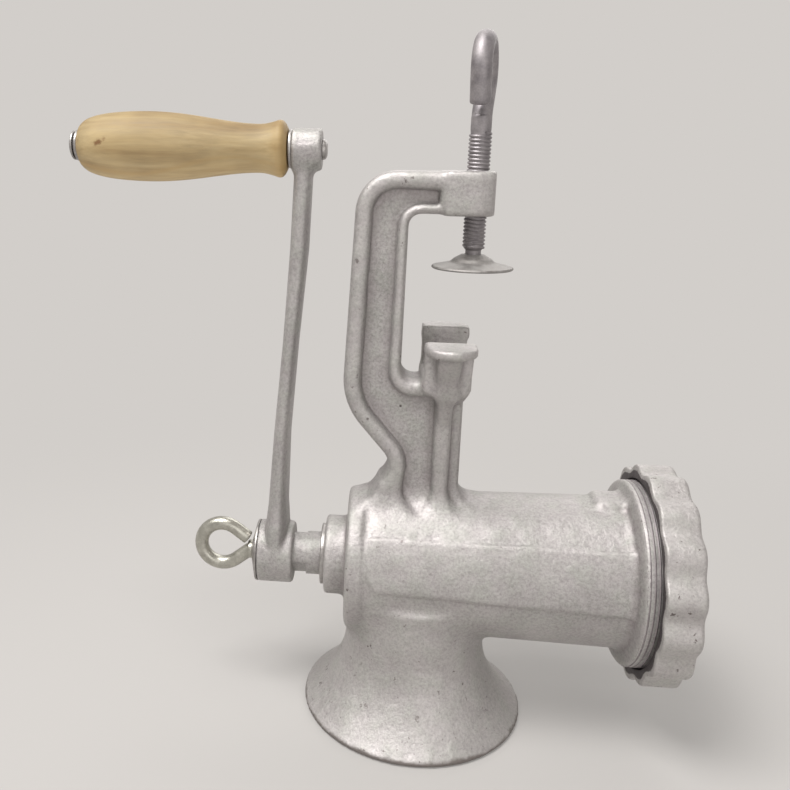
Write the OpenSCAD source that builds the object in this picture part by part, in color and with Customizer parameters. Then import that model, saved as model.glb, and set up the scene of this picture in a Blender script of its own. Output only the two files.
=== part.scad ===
// Hand crank meat grinder, standing upside down on its hopper rim.
// X runs along the barrel towards the ring nut, Y runs away from the panel
// side, Z is up, and the origin is the centre of the hopper mouth.

/* [Hopper] */
// Outer radius of the hopper's mouth
mouth_r = 53; // [50:1:60]
// Outer radius of the hopper's neck, where it meets the barrel
neck_r = 33.5; // [32:0.5:36]
// Height of the flared bell, from the rim to the neck
bell_h = 40; // [34:1:44]
// Height of the plain lip at the rim
lip_h = 2.4; // [1.5:0.1:4]
// Wall thickness of the hopper
hopper_wall = 3.5; // [3:0.1:4.5]

/* [Barrel] */
// Height of the barrel's axis above the rim
axis_z = 75; // [74:1:84]
// Outer radius of the barrel
barrel_r = 34.4; // [33.5:0.1:36]
// Radius of the barrel's bore
bore_r = 29.5; // [28:0.5:30.5]
// Distance from the hopper's axis back to the barrel's rear face
barrel_back = 34; // [34:1:42]
// Distance from the hopper's axis forward to the barrel's front face
barrel_front = 111; // [108:1:122]
// Thickness of the barrel's rear wall
rear_wall = 7; // [5:0.5:9]
// Radius of the shoulder bead at the rear end
bead_r = 33.4; // [33:0.1:36]
// Length of the shoulder bead along the barrel
bead_l = 7; // [6:0.5:10]
// Thickness of the raised side panels
panel_t = 1.2; // [0.8:0.1:2]
// Lower edge of the side panels, as an angle above the horizontal
panel_low = -5; // [-12:1:12]
// Upper edge of the side panels, as an angle above the horizontal
panel_high = 40; // [34:1:52]

/* [Rear bearing] */
// Radius of the boss behind the barrel
rear_boss_r = 18.7; // [17.5:0.1:21]
// Length of the boss behind the barrel
rear_boss_l = 10.5; // [8:0.5:14]
// Outer radius of the bush in the boss
bush_r = 13; // [12.5:0.1:14]
// Radius of the bush's flange
bush_flange_r = 14.6; // [14.4:0.1:16.5]
// Thickness of the bush's flange
bush_flange_t = 2; // [1.5:0.1:3]
// Radius of the auger's journal
journal_r = 10.2; // [9:0.1:11]
// Running clearance of the journal in its bush
journal_gap = 0.06; // [0.03:0.01:0.09]
// Thickness of the thrust washer behind the auger
thrust_t = 2; // [1:0.1:3]

/* [Front end] */
// Crest radius of the barrel's thread
thread_r = 43.4; // [42:0.1:45.5]
// Depth of the barrel's thread
thread_depth = 0.9; // [0.7:0.1:1.4]
// Pitch of the barrel's thread
thread_pitch = 2; // [1.5:0.1:3]
// Length of the barrel's thread
thread_l = 15.5; // [14:0.5:22]
// Radius of the grinding plate
plate_r = 35; // [33:0.5:35.5]
// Thickness of the grinding plate
plate_t = 8; // [6:0.5:9]
// How far the plate stands proud of the barrel
plate_proud = 2.5; // [0.6:0.1:4]
// Clearance round the plate in its seat
plate_gap = 0.35; // [0.3:0.01:0.5]
// Radius of the holes in the plate
plate_hole_r = 3; // [2:0.1:3.2]
// Metal left between neighbouring holes in the plate
hole_wall = 1.4; // [1.2:0.1:3]
// Radius of the retaining pin in the plate's notch
key_r = 2; // [1.5:0.1:2.4]
// Wall of the ring nut outside its thread, at the crests
ring_wall = 7.3; // [6:0.1:9]
// Depth of the scallops
scallop_depth = 2.2; // [1:0.1:3]
// Number of scallops
scallops = 16; // [12:1:18]
// Length of the ring nut
ring_l = 17; // [14:0.5:20]
// Thickness of the ring nut's front flange
ring_flange_t = 4; // [3:0.5:5]
// Radius of the ring nut's front opening
ring_open_r = 29; // [26:0.5:31]
// Clearance of the ring nut round the thread
ring_gap = 0.3; // [0.2:0.05:0.4]

/* [Auger and knife] */
// Clearance between the auger's flight and the bore
flight_gap = 0.9; // [0.6:0.1:1.5]
// Radius of the auger's core
core_r = 13.5; // [12:0.5:16]
// Pitch of the auger's flight
flight_pitch = 30; // [24:1:36]
// Axial thickness of the flight
flight_t = 6; // [4:0.5:8]
// Width across the flats of the auger's square
square_w = 13; // [10:0.5:14]
// Radius of the stud on which the plate turns
stud_r = 5; // [4:0.1:6]
// Length of each knife blade from the axis
blade_r = 28.8; // [26:0.1:29]
// Thickness of the knife
knife_t = 7; // [5:0.5:8]

/* [Clamp frame] */
// Height of the frame's top above the rim
frame_top = 257.5; // [250:1:275]
// Distance from the hopper's axis back to the frame's rear edge
frame_back = 38; // [36:1:42]
// Distance from the hopper's axis back to the frame's inner edge
throat_back = 12.3; // [11:0.5:14]
// Thickness of the frame's top bar
top_bar = 18; // [16:0.5:22]
// Half width of the frame's raised rims
rim_w2 = 11.5; // [10:0.5:13]
// Half width of the web between the rims
web_w2 = 6.5; // [5:0.5:8]
// Width of the frame's outer rim
outer_rim = 8; // [6:0.5:9]
// Width of the frame's inner rim
inner_rim = 5; // [4:0.5:6]
// Height of the saddle below the jaw
saddle_z = 166; // [162:1:170]
// Height of the jaw's clamping faces
jaw_z = 185.4; // [182:0.1:192]
// Half width across both jaw lugs
lug_w2 = 35.7; // [32:0.1:38]
// Half width of the gap between the lugs
lug_gap2 = 15; // [13:0.5:16]
// Thickness of the jaw lugs
lug_t = 4; // [3.5:0.5:7]

/* [Clamp screw] */
// Distance from the hopper's axis to the clamp screw's axis
screw_x = 17; // [16:0.5:18]
// Crest radius of the clamp screw
screw_r = 4.95; // [4.5:0.05:5.3]
// Pitch of the clamp screw
screw_pitch = 1.6; // [1.25:0.05:2]
// Clearance of the clamp screw in its boss
screw_gap = 0.05; // [0.03:0.01:0.09]
// Height of the pad's clamping face
pad_z = 215.8; // [205:0.1:217]
// Radius of the clamp pad
pad_r = 17.9; // [15:0.1:20]
// Height of the clamp pad
pad_h = 6.4; // [5.5:0.1:8]
// Thickness of the clamp pad's sheet
pad_t = 1.2; // [1:0.1:2]
// How far the clamp screw's eye stands above the frame
screw_out = 57.5; // [50:0.5:68]
// Height of the clamp screw's eye
eye_h = 31; // [28:0.5:34]
// Plain shank between the clamp screw's thread and its eye
shank_l = 10.5; // [8:0.5:14]
// Radius of the clamp screw's wire in the eye
eye_wire_r = 4.4; // [4:0.1:4.5]
// Half width of the clamp screw's eye, to the middle of the wire
eye_w2 = 11; // [9:0.5:13]
// Turn of the clamp screw's eye out of the frame's crosswise plane
eye_turn = 13; // [0:1:30]

/* [Crank] */
// Length of the crank, from the barrel's axis to the handle's axis
throw = 190.5; // [170:0.5:205]
// Radius of the crank's hub
hub_r = 14.8; // [13:0.1:16]
// Length of the crank's hub
hub_l = 17; // [15:0.5:20]
// Bare length of shaft between the bush and the hub
shaft_bare = 13.3; // [11:0.1:16]
// Distance from the shaft's axis to its drive flats
flat_d = 7.6; // [6.5:0.1:8]
// Clearance of the crank on the drive flats
drive_gap = 0.3; // [0.3:0.05:0.4]
// How far the handle's boss leans forward of the hub
arm_lean = 10; // [0:0.5:12]
// Thickness of the crank arm at the middle
arm_t = 6.6; // [6:0.1:9]
// Radius of the boss that carries the handle
tip_r = 8.9; // [7:0.1:10]
// Length of the boss that carries the handle
tip_l = 13; // [11:0.5:16]

/* [Handle] */
// Length of the wooden grip
grip_l = 92.5; // [85:1:110]
// Largest radius of the grip
grip_r = 15; // [13.5:0.1:17]
// Radius of the grip's waist
waist_r = 10.4; // [9.5:0.1:11.5]
// Radius of the handle's spindle
spindle_r = 3.5; // [3:0.1:4]
// Clearance of the grip on its spindle
spindle_gap = 0.08; // [0.03:0.01:0.09]
// Thickness of the handle's washers
washer_t = 1.4; // [0.8:0.1:1.8]
// Radius of the outer washer
outer_washer_r = 6.7; // [5.5:0.1:7.5]
// Radius of the inner washer
inner_washer_r = 8.2; // [7:0.1:8.6]

/* [Crank screw] */
// Radius of the crank screw's wire
wire_r = 3.3; // [2.5:0.1:3.5]
// Length of the crank screw's eye
loop_l = 29; // [24:0.5:34]
// Outer width of the crank screw's eye
loop_w = 27.5; // [24:0.5:32]
// Angle at which the eye is bent off the crank screw's line
eye_bend = 9; // [0:1:15]
// Depth to which the crank screw enters the shaft
screw_in = 12; // [9:0.5:15]
// Thickness of the cup washer's sheet
cup_t = 1.4; // [1:0.1:2]
// Depth of the cup washer's cone
cup_h = 3.4; // [2.5:0.1:5]

/* [Hidden] */
$fn = 64;
over = 0.5;

// Clearance kept between bodies that pass or turn against each other
side_gap = 0.3;

// Places along the barrel
bush_face_x = -barrel_back - rear_boss_l - bush_flange_t;
auger_back_x = -barrel_back + rear_wall + thrust_t;
plate_back_x = barrel_front + plate_proud - plate_t;
plate_front_x = plate_back_x + plate_t;
ring_front_x = plate_front_x + ring_flange_t;
ring_back_x = ring_front_x - ring_l;
knife_back_x = plate_back_x - side_gap - knife_t;
flight_front_x = knife_back_x - side_gap;
thread_back_x = barrel_front - thread_l;
collar_back_x = thread_back_x - 3.4;
hub_front_x = bush_face_x - shaft_bare;
hub_back_x = hub_front_x - hub_l;
shaft_end_x = hub_back_x + 1.5;
flat_start_x = hub_front_x + 6;
stud_in = 12;

// Radii that follow from the driving ones
seat_r = plate_r + plate_gap;
flight_r = bore_r - flight_gap;
ring_bore_r = thread_r + ring_gap;
ring_r = ring_bore_r + ring_wall;
ring_turn = -2;

// Places on the clamp frame
corner_out = 18;
corner_in = 5;
throat_top = frame_top - top_bar;
boss_end_x = screw_x + 7.4;
post_x = screw_x - 0.5;
jaw_x = screw_x + 2.4;
jaw_back_x = -2.5;
jaw_low_z = saddle_z - 4;
bulge_r = 33;
bulge_c = [-frame_back + bulge_r, saddle_z];
notch_r = 9.8;
notch_c = [-frame_back + 12, saddle_z - 41];
saddle_c = [-throat_back + 6, saddle_z + 6];
rib_x0 = 4.5;
rib_x1 = 10;

// Places along the handle
handle_z = axis_z + throw;
tip_front_x = hub_back_x + 16.5 + arm_lean;
tip_back_x = tip_front_x - tip_l;
grip_front_x = tip_back_x - washer_t - 2 * side_gap;
grip_back_x = grip_front_x - grip_l;

// Crank screw and clamp screw
crank_screw_r = 4;
cup_back_x = hub_back_x - cup_h;
screw_neck_r = 3.4;
screw_low_z = pad_z + pad_h + 2.6;
eye_top = frame_top + screw_out;
eye_low_z = eye_top - eye_h;
thread_top_z = eye_low_z - shank_l;

// Points along an arc about a centre, from one angle to another
function arc(c, r, a0, a1, n = 10) = [
    for (i = [0:n]) let (a = a0 + (a1 - a0) * i / n)
        [c[0] + r * cos(a), c[1] + r * sin(a)]
];

// Angle at which the bulge's outline leaves for the notch
function cross_angle(c1, r1, c2, r2) =
    let (d = c2 - c1, l = norm(d))
    360 + atan2(d[1], d[0]) - acos((r1 + r2) / l);

// Turns a solid of revolution about Z into one about the barrel's axis
module along_x(z = axis_z) {
    translate([0, 0, z])
        rotate([0, 90, 0])
            children();
}

// Solid cylinder along X between two places
module rod_x(x0, x1, r, z = axis_z) {
    translate([x0, 0, z])
        rotate([0, 90, 0])
            cylinder(h = x1 - x0, r = r);
}

// Plate cut to an outline in X and Z, centred on the XZ plane
module slab(w2) {
    rotate([90, 0, 0])
        linear_extrude(2 * w2, center = true)
            children();
}

// Ring grooves of a thread, as the outline's points from low to high
function thread_line(r, depth, pitch, low, high) =
    let (n = floor((high - low) / pitch))
    [for (i = [0:n - 1]) each [
        [r, low + i * pitch],
        [r, low + (i + 0.3) * pitch],
        [r - depth, low + (i + 0.65) * pitch]
    ], [r, low + n * pitch], [r, high]];

// Outline of the hopper's flare, as radius and height above the rim
function bell(r_mouth, r_neck, low, high, n = 8) = [
    for (i = [0:n]) let (t = i / n, z = low + (high - low) * pow(t, 1.5))
        [r_neck + (r_mouth - r_neck) * pow(1 - (z - low) / (high - low), 2.4), z]
];

module hopper_outer() {
    rotate_extrude()
        polygon(concat([[0, 0], [mouth_r - 0.8, 0], [mouth_r, 0.8]],
            bell(mouth_r, neck_r, lip_h, bell_h),
            [[neck_r, axis_z - 12], [0, axis_z - 12]]));
}

module hopper_inner() {
    rotate_extrude()
        polygon(concat([[0, -over], [mouth_r - hopper_wall + 1, -over]],
            bell(mouth_r - hopper_wall + 1, neck_r - hopper_wall, 0, bell_h - 1),
            [[neck_r - hopper_wall, axis_z], [0, axis_z]]));
}

module barrel_outer() {
    bead_x = -barrel_back + bead_l;
    along_x()
        rotate_extrude()
            polygon(concat(
                [[0, -barrel_back], [bead_r - 4, -barrel_back]],
                arc([bead_r - 4, -barrel_back + 4], 4, -90, 0, 4),
                [[bead_r, bead_x - 2], [bead_r - 1.4, bead_x + 0.5], [barrel_r - 1.2, bead_x + 4]],
                [[barrel_r, collar_back_x - 4], [barrel_r + 1.5, collar_back_x - 0.5]],
                [[thread_r - 2, collar_back_x + 1.6], [thread_r, collar_back_x + 3]],
                thread_line(thread_r, thread_depth, thread_pitch,
                    thread_back_x, barrel_front - 1),
                [[thread_r - 1, barrel_front], [0, barrel_front]]));
}

module side_panel() {
    panel_x0 = -barrel_back + bead_l + 3;
    span = panel_high - panel_low;
    along_x()
        rotate([0, 0, -90 - panel_high])
            translate([0, 0, panel_x0])
                rotate_extrude(angle = span)
                    translate([bore_r + 2, 0])
                        square([barrel_r + panel_t - bore_r - 2, collar_back_x - panel_x0]);
}

// Pad on top of the collar
module collar_pad() {
    pad_w = 16;
    pad_top = axis_z + barrel_r + 3.6;
    translate([collar_back_x - 7, -pad_w / 2, axis_z])
        cube([10, pad_w, pad_top - axis_z]);
}

module frame_outline() {
    a = cross_angle(bulge_c, bulge_r, notch_c, notch_r);
    polygon(concat(
        [[boss_end_x - 8, frame_top]],
        arc([corner_out - frame_back + 3, frame_top - corner_out], corner_out, 90, 180),
        arc(bulge_c, bulge_r, 180, a),
        arc(notch_c, notch_r, a - 180, -40),
        [[notch_c[0] + notch_r - 6, axis_z + barrel_r + 4.6], [-barrel_back + bead_l + 1, axis_z + barrel_r - 2]],
        [[-barrel_back + bead_l + 1, axis_z + barrel_r - 6], [post_x + 8, axis_z + barrel_r - 6]],
        arc([post_x + 10, axis_z + barrel_r + 9.4], 10, 270, 180, 6),
        [[post_x, saddle_z - 9], [jaw_x, saddle_z - 6], [jaw_x, jaw_z - lug_t]],
        [[jaw_back_x, jaw_z - lug_t], [jaw_back_x, saddle_z]],
        arc(saddle_c, 6, 270, 180, 6),
        arc([corner_in - throat_back + 0.7, throat_top - corner_in], corner_in, 180, 90, 6),
        [[boss_end_x - 8, throat_top]]));
}

// Recess between the frame's rims, on one side
module frame_recess() {
    a = cross_angle(bulge_c, bulge_r, notch_c, notch_r);
    top_end = screw_x - 16.5;
    low_z = saddle_z - 7.4;
    polygon(concat(
        [[top_end, frame_top - outer_rim + 0.5]],
        arc([corner_out - frame_back + 3, frame_top - corner_out],
            corner_out - outer_rim + 0.5, 90, 180),
        arc(bulge_c, bulge_r - outer_rim, 180, a),
        arc(notch_c, notch_r + outer_rim, a - 180, -20),
        [[notch_c[0] + notch_r + outer_rim - 2, axis_z + barrel_r - 8]],
        [[rib_x0, axis_z + barrel_r - 8], [rib_x0, low_z]],
        arc([saddle_c[0], low_z + 6 + inner_rim], 6 + inner_rim, 270, 180, 6),
        arc([corner_in - throat_back + 0.7, throat_top - corner_in],
            corner_in + inner_rim - 0.5, 180, 90, 6),
        [[top_end, throat_top + inner_rim - 0.5]]));
}

// Recess between the rib and the front edge of the post, on one side
module post_recess() {
    translate([rib_x1, axis_z + barrel_r - 8])
        square([jaw_x - rib_x1 + 12, saddle_z - 9 - axis_z - barrel_r + 8]);
}

// One end of the boss, rounded about the clamp screw
module frame_boss() {
    nose_r = 15;
    boss_w2 = rim_w2 + 1;
    intersection() {
        translate([boss_end_x - nose_r, 0, throat_top])
            cylinder(h = top_bar, r = nose_r);
        translate([screw_x - 13.5, -boss_w2, throat_top])
            cube([13.5 + nose_r, 2 * boss_w2, top_bar]);
    }
}

// Jaw lug on the far side, with its wall and gusset
module jaw_lug() {
    wall_w2 = lug_gap2 + 5;
    lug_c = (jaw_back_x + jaw_x) / 2;
    lug_r = (jaw_x - jaw_back_x) / 2;
    translate([jaw_back_x, lug_gap2, jaw_low_z])
        cube([jaw_x - jaw_back_x, wall_w2 - lug_gap2, jaw_z - jaw_low_z - lug_t / 2]);
    translate([jaw_back_x, web_w2, jaw_low_z])
        cube([jaw_x - jaw_back_x, wall_w2 - web_w2, 10]);
    translate([jaw_back_x, lug_gap2, jaw_z - lug_t])
        cube([jaw_x - jaw_back_x, lug_w2 - lug_gap2 - lug_r, lug_t]);
    intersection() {
        translate([lug_c, lug_w2 - lug_r, jaw_z - lug_t])
            cylinder(h = lug_t, r = lug_r);
        translate([jaw_back_x, lug_gap2, jaw_z - lug_t])
            cube([2 * lug_r, lug_w2, lug_t]);
    }
    translate([rib_x0, 0, 0])
        rotate([90, 0, 90])
            linear_extrude(rib_x1 - rib_x0)
                polygon([[web_w2 - 1, axis_z + barrel_r - 8], [rim_w2, axis_z + barrel_r - 8],
                    [rim_w2 + 1, saddle_z - 14], [lug_w2 - 6, jaw_z - lug_t + 1],
                    [web_w2 - 1, jaw_z - lug_t + 1], [web_w2 - 1, saddle_z]]);
}

// What is cut out of the channel between the two lugs
module jaw_channel() {
    channel_z = saddle_z + 3;
    translate([jaw_back_x - 20, -lug_gap2, channel_z])
        cube([20 + jaw_x - jaw_back_x + over, 2 * lug_gap2, jaw_z - channel_z + over]);
}

module clamp_frame() {
    difference() {
        union() {
            slab(rim_w2)
                frame_outline();
            frame_boss();
        }
        for (side = [-1, 1])
            translate([0, side * (web_w2 + rim_w2) / 2, 0]) {
                slab((rim_w2 - web_w2) / 2)
                    frame_recess();
                slab((rim_w2 - web_w2) / 2)
                    post_recess();
            }
        intersection() {
            jaw_channel();
            translate([jaw_back_x - over, -rim_w2 - 1, saddle_z])
                cube([jaw_x - jaw_back_x + 2 * over, 2 * rim_w2 + 2, jaw_z]);
        }
    }
    difference() {
        union() {
            jaw_lug();
            mirror([0, 1, 0])
                jaw_lug();
        }
        jaw_channel();
    }
}

module body_casting() {
    color("#b5b2ae")
        difference() {
            union() {
                hopper_outer();
                barrel_outer();
                side_panel();
                mirror([0, 1, 0])
                    side_panel();
                collar_pad();
                rod_x(-barrel_back - rear_boss_l, -barrel_back + 1, rear_boss_r);
                clamp_frame();
            }
            hopper_inner();
            rod_x(-barrel_back + rear_wall, barrel_front + over, bore_r);
            rod_x(plate_back_x, barrel_front + over, seat_r);
            rod_x(-barrel_back - rear_boss_l - over, 0, bush_r);
            translate([0, 0, axis_z + seat_r])
                translate([plate_back_x + plate_t / 2, 0, -key_r])
                    cylinder(h = thread_r, r = key_r, $fn = 48);
            translate([screw_x, 0, throat_top - over])
                cylinder(h = top_bar + 2 * over, r = screw_r + screw_gap);
        }
}

module rear_bush() {
    bush_end_x = -barrel_back + rear_wall - side_gap;
    color("#9c9a96")
        difference() {
            union() {
                rod_x(bush_face_x, bush_face_x + bush_flange_t, bush_flange_r);
                rod_x(bush_face_x, bush_end_x, bush_r);
            }
            rod_x(bush_face_x - over, bush_end_x + over, journal_r + journal_gap);
        }
}

// Round bar with two flats, as the hole in the crank's hub
module drive_section(x0, x1, d, r) {
    translate([0, 0, axis_z])
        rotate([45, 0, 0])
            intersection() {
                translate([x0, -d, -r])
                    cube([x1 - x0, 2 * d, 2 * r]);
                rod_x(x0, x1, r, 0);
            }
}

// Radius of the worm's section at an angle from the crest of its flight
function worm_radius(a) =
    core_r + (flight_r - core_r) * exp(-pow(a / (180 * flight_t / flight_pitch), 4));

// Worm with its flight, as one section twisted about the axis
module worm() {
    start_x = auger_back_x + 3;
    length = flight_front_x - start_x;
    points = 20;
    translate([start_x, 0, axis_z])
        rotate([0, 90, 0])
            linear_extrude(length, twist = -360 * length / flight_pitch, slices = 48, $fn = points)
                polygon([for (i = [0:points - 1]) let (a = 360 * i / points - 180)
                    [worm_radius(a) * cos(a), worm_radius(a) * sin(a)]]);
}

// What the two flats take off the drive end of the shaft
module drive_flats() {
    for (side = [-1, 1])
        translate([0, 0, axis_z])
            rotate([45, 0, 0])
                translate([shaft_end_x - over, side * (flat_d + journal_r) - journal_r, -journal_r * 1.5])
                    cube([flat_start_x - shaft_end_x + over, 2 * journal_r, journal_r * 3]);
}

module auger() {
    square_l = knife_t + 0.5;
    color("#a9a6a2")
        difference() {
            union() {
                rod_x(shaft_end_x, auger_back_x + 1, journal_r);
                rod_x(auger_back_x, auger_back_x + 3, core_r + 6);
                worm();
                translate([flight_front_x - over, -square_w / 2, axis_z - square_w / 2])
                    cube([square_l + over, square_w, square_w]);
            }
            drive_flats();
            rod_x(shaft_end_x - over, shaft_end_x + screw_in + 3, crank_screw_r + 0.05);
            rod_x(flight_front_x - stud_in, flight_front_x + square_l + over, stud_r);
        }
}

module thrust_washer() {
    color("#5d4a3a")
        difference() {
            rod_x(auger_back_x - thrust_t + 0.05, auger_back_x - 0.05, core_r + 6);
            rod_x(auger_back_x - thrust_t - over, auger_back_x + over, journal_r + side_gap);
        }
}

module auger_stud() {
    color("#8e8c89")
        union() {
            rod_x(flight_front_x - stud_in, plate_front_x - 1, stud_r);
            rod_x(plate_front_x - 1, plate_front_x - 0.2, stud_r - 0.8);
        }
}

module knife() {
    blade_w = 11;
    tip_w = 7;
    tip_reach = sqrt(pow(min(blade_r, bore_r - 0.5), 2) - tip_w * tip_w / 4);
    color("#c4c2be")
        difference() {
            union() {
                rod_x(knife_back_x, knife_back_x + knife_t, square_w / 2 * sqrt(2) + 3);
                for (i = [0:3])
                    translate([knife_back_x, 0, axis_z])
                        rotate([90 * i, 0, 0])
                            rotate([0, 90, 0])
                                linear_extrude(knife_t)
                                    polygon([[-blade_w / 2, 0], [blade_w / 2, 0],
                                        [tip_w / 2, tip_reach], [-tip_w / 2, tip_reach]]);
            }
            translate([knife_back_x - over, -square_w / 2 - 0.1, axis_z - square_w / 2 - 0.1])
                cube([knife_t + 2 * over, square_w + 0.2, square_w + 0.2]);
        }
}

module grinding_plate() {
    hole_step = 2 * plate_hole_r + hole_wall;
    inner_ring = stud_r + plate_hole_r + 3;
    rings = floor((ring_open_r - inner_ring - plate_hole_r) / hole_step);
    color("#b9b7b3")
        difference() {
            rod_x(plate_back_x + 0.05, plate_front_x - 0.05, plate_r);
            rod_x(plate_back_x - over, plate_front_x + over, stud_r + 0.06);
            for (k = [0:rings])
                let (r = inner_ring + k * hole_step, n = floor(2 * PI * r / hole_step))
                    for (i = [0:n - 1])
                        translate([0, r * cos(360 * i / n), axis_z + r * sin(360 * i / n)])
                            rod_x(plate_back_x - over, plate_front_x + over, plate_hole_r, 0);
            translate([plate_back_x - over, -key_r - side_gap, axis_z + plate_r - 2 * key_r])
                cube([plate_t + 2 * over, 2 * key_r + 2 * side_gap, 3 * key_r]);
        }
}

module plate_pin() {
    color("#8e8c89")
        translate([plate_back_x + plate_t / 2, 0, axis_z + seat_r - 2 * key_r + 0.7])
            cylinder(h = thread_r - thread_depth - seat_r + 2 * key_r - 1.2, r = key_r, $fn = 48);
}

module ring_nut() {
    cutter_r = 16;
    cutter_c = ring_r - scallop_depth + cutter_r;
    color("#bdbab6")
        difference() {
            rod_x(ring_back_x, ring_front_x, ring_r);
            for (i = [0:scallops - 1])
                along_x()
                    rotate([0, 0, 360 * i / scallops + ring_turn])
                        translate([cutter_c, 0, ring_back_x - over])
                            cylinder(h = ring_l + 2 * over, r = cutter_r);
            rod_x(ring_back_x - over, plate_front_x + 0.05, ring_bore_r);
            rod_x(plate_front_x - over, ring_front_x + over, ring_open_r);
        }
}

// Arc of round bar in the XY plane about the origin
module wire_arc(r, a0, a1, wire) {
    rotate([0, 0, a0])
        rotate_extrude(angle = a1 - a0)
            translate([r, 0])
                circle(r = wire, $fn = 32);
}

// Straight bar leaving an arc of radius r at angle a, along its tangent; it
// starts a little inside the arc and is finer by a hair, so that it stays there
module wire_leg(r, a, length, wire) {
    root = 1;
    hair = 0.08;
    rotate([0, 0, a])
        translate([r, 0, 0])
            rotate([length > 0 ? -90 : 90, 0, 0])
                translate([0, 0, -root])
                    cylinder(h = abs(length) + root, r = wire - hair, $fn = 32);
}

// Eye of bent wire in the XY plane, its shank meeting the Y axis at -foot
module wire_eye(r, foot, free_lean, free_l, wire) {
    lean = asin(r / foot);
    wire_arc(r, -lean, 180 + free_lean, wire);
    wire_leg(r, -lean, -sqrt(foot * foot - r * r), wire);
    wire_leg(r, 180 + free_lean, free_l, wire);
}

module clamp_eye() {
    bow_z = eye_top - eye_wire_r - eye_w2;
    translate([screw_x, 0, bow_z])
        rotate([0, 0, -eye_turn])
            rotate([90, 0, 90])
                wire_eye(eye_w2, bow_z - eye_low_z + 3, 14, 12.5, eye_wire_r);
}

module clamp_screw() {
    neck_low_z = pad_z + pad_t + 0.2;
    color("#8d898c")
        union() {
            translate([screw_x, 0, 0])
                rotate_extrude()
                    polygon(concat([[0, neck_low_z], [screw_neck_r + 1.4, neck_low_z],
                        [screw_neck_r + 1.4, neck_low_z + 0.9], [screw_neck_r, neck_low_z + 0.9],
                        [screw_neck_r, screw_low_z - 0.8], [screw_r - 1, screw_low_z]],
                        thread_line(screw_r, 0.9, screw_pitch, screw_low_z + 0.8, thread_top_z),
                        [[eye_wire_r, thread_top_z + 0.5], [eye_wire_r, eye_low_z], [0, eye_low_z]]));
            clamp_eye();
        }
}

module clamp_pad() {
    collar_r = screw_neck_r + 1.8;
    top_r = screw_neck_r + 1.4;
    color("#a8a6a2")
        translate([screw_x, 0, pad_z])
            rotate_extrude()
                polygon([[0, 0], [pad_r - 0.6, 0], [pad_r, 0.5], [pad_r - 0.6, 1.3],
                    [pad_r * 0.55, 3], [top_r + 3.2, 4.6], [top_r, pad_h],
                    [screw_neck_r + 0.06, pad_h], [screw_neck_r + 0.06, pad_t + 1.6],
                    [collar_r, pad_t + 1.6], [collar_r, pad_t], [0, pad_t]]);
}

// Side view of the arm: its middle line leans forward as it rises
module arm_outline() {
    root_c = hub_back_x + 9.5;
    tip_c = root_c + arm_lean;
    root_t = arm_t + 3.4;
    top_t = arm_t + 1;
    polygon([[root_c - root_t / 2, axis_z], [root_c + root_t / 2, axis_z],
        [root_c + root_t / 2, axis_z + throw * 0.084],
        [root_c + arm_lean * 0.15 + arm_t / 2 + 0.2, axis_z + throw * 0.29],
        [root_c + arm_lean * 0.55 + arm_t / 2, axis_z + throw * 0.55],
        [tip_c + top_t / 2, axis_z + throw * 0.853],
        [tip_c + top_t / 2, handle_z], [tip_c - top_t / 2, handle_z],
        [tip_c - top_t / 2, axis_z + throw * 0.816],
        [root_c + arm_lean * 0.55 - arm_t / 2, axis_z + throw * 0.55],
        [root_c + arm_lean * 0.15 - arm_t / 2 - 0.2, axis_z + throw * 0.29],
        [root_c - root_t / 2, axis_z + throw * 0.084]]);
}

// Front view of the arm: wide at the hub and narrow at the tip
module arm_width() {
    root_w2 = hub_r * 0.62;
    tip_w2 = tip_r * 0.7;
    reach = hub_l + arm_lean + arm_t;
    rotate([90, 0, 90])
        linear_extrude(2 * reach, center = true)
            polygon([[-root_w2, axis_z], [root_w2, axis_z], [tip_w2, handle_z], [-tip_w2, handle_z]]);
}

module crank_arm() {
    color("#a3a19e")
        difference() {
            union() {
                rod_x(hub_back_x, hub_front_x, hub_r);
                intersection() {
                    slab(hub_r)
                        arm_outline();
                    translate([hub_back_x, 0, 0])
                        arm_width();
                }
                rod_x(tip_back_x, tip_front_x, tip_r, handle_z);
            }
            drive_section(hub_back_x - over, hub_front_x + over,
                flat_d + drive_gap, journal_r + drive_gap);
            rod_x(tip_back_x - over, tip_front_x + over, spindle_r, handle_z);
        }
}

module crank_cup_washer() {
    hole_r = crank_screw_r + 0.06;
    rim_x = hub_back_x - 0.05;
    color("#a8a6a2")
        along_x()
            rotate_extrude()
                polygon([[hole_r, cup_back_x], [hole_r + 1.6, cup_back_x], [hub_r, rim_x - 1],
                    [hub_r, rim_x], [hub_r - 2.5, rim_x], [hole_r, cup_back_x + cup_t + 0.6]]);
}

module eye_screw() {
    bow_r = loop_w / 2 - wire_r;
    foot_x = cup_back_x - 0.05;
    bow_x = -loop_l + loop_w / 2;
    color("#c9c5b8")
        union() {
            rod_x(foot_x - 1.5, shaft_end_x + screw_in, crank_screw_r);
            rod_x(foot_x - 2.5, foot_x, wire_r + 1.2);
            translate([foot_x, 0, axis_z])
                rotate([-90, 0, 0])
                    rotate([0, 0, eye_bend + 90])
                        translate([0, -bow_x, 0])
                            wire_eye(bow_r, -1 - bow_x, 28, 6, wire_r);
        }
}

module handle_spindle() {
    head_x = grip_back_x - side_gap - washer_t;
    color("#9c9a97")
        union() {
            rod_x(head_x, tip_front_x, spindle_r, handle_z);
            translate([head_x, 0, handle_z])
                rotate([0, -90, 0])
                    cylinder(h = 2.4, r1 = outer_washer_r - 0.3, r2 = outer_washer_r - 1.2);
            translate([tip_front_x, 0, handle_z])
                rotate([0, 90, 0])
                    cylinder(h = 2.2, r1 = spindle_r + 0.9, r2 = spindle_r);
        }
}

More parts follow.
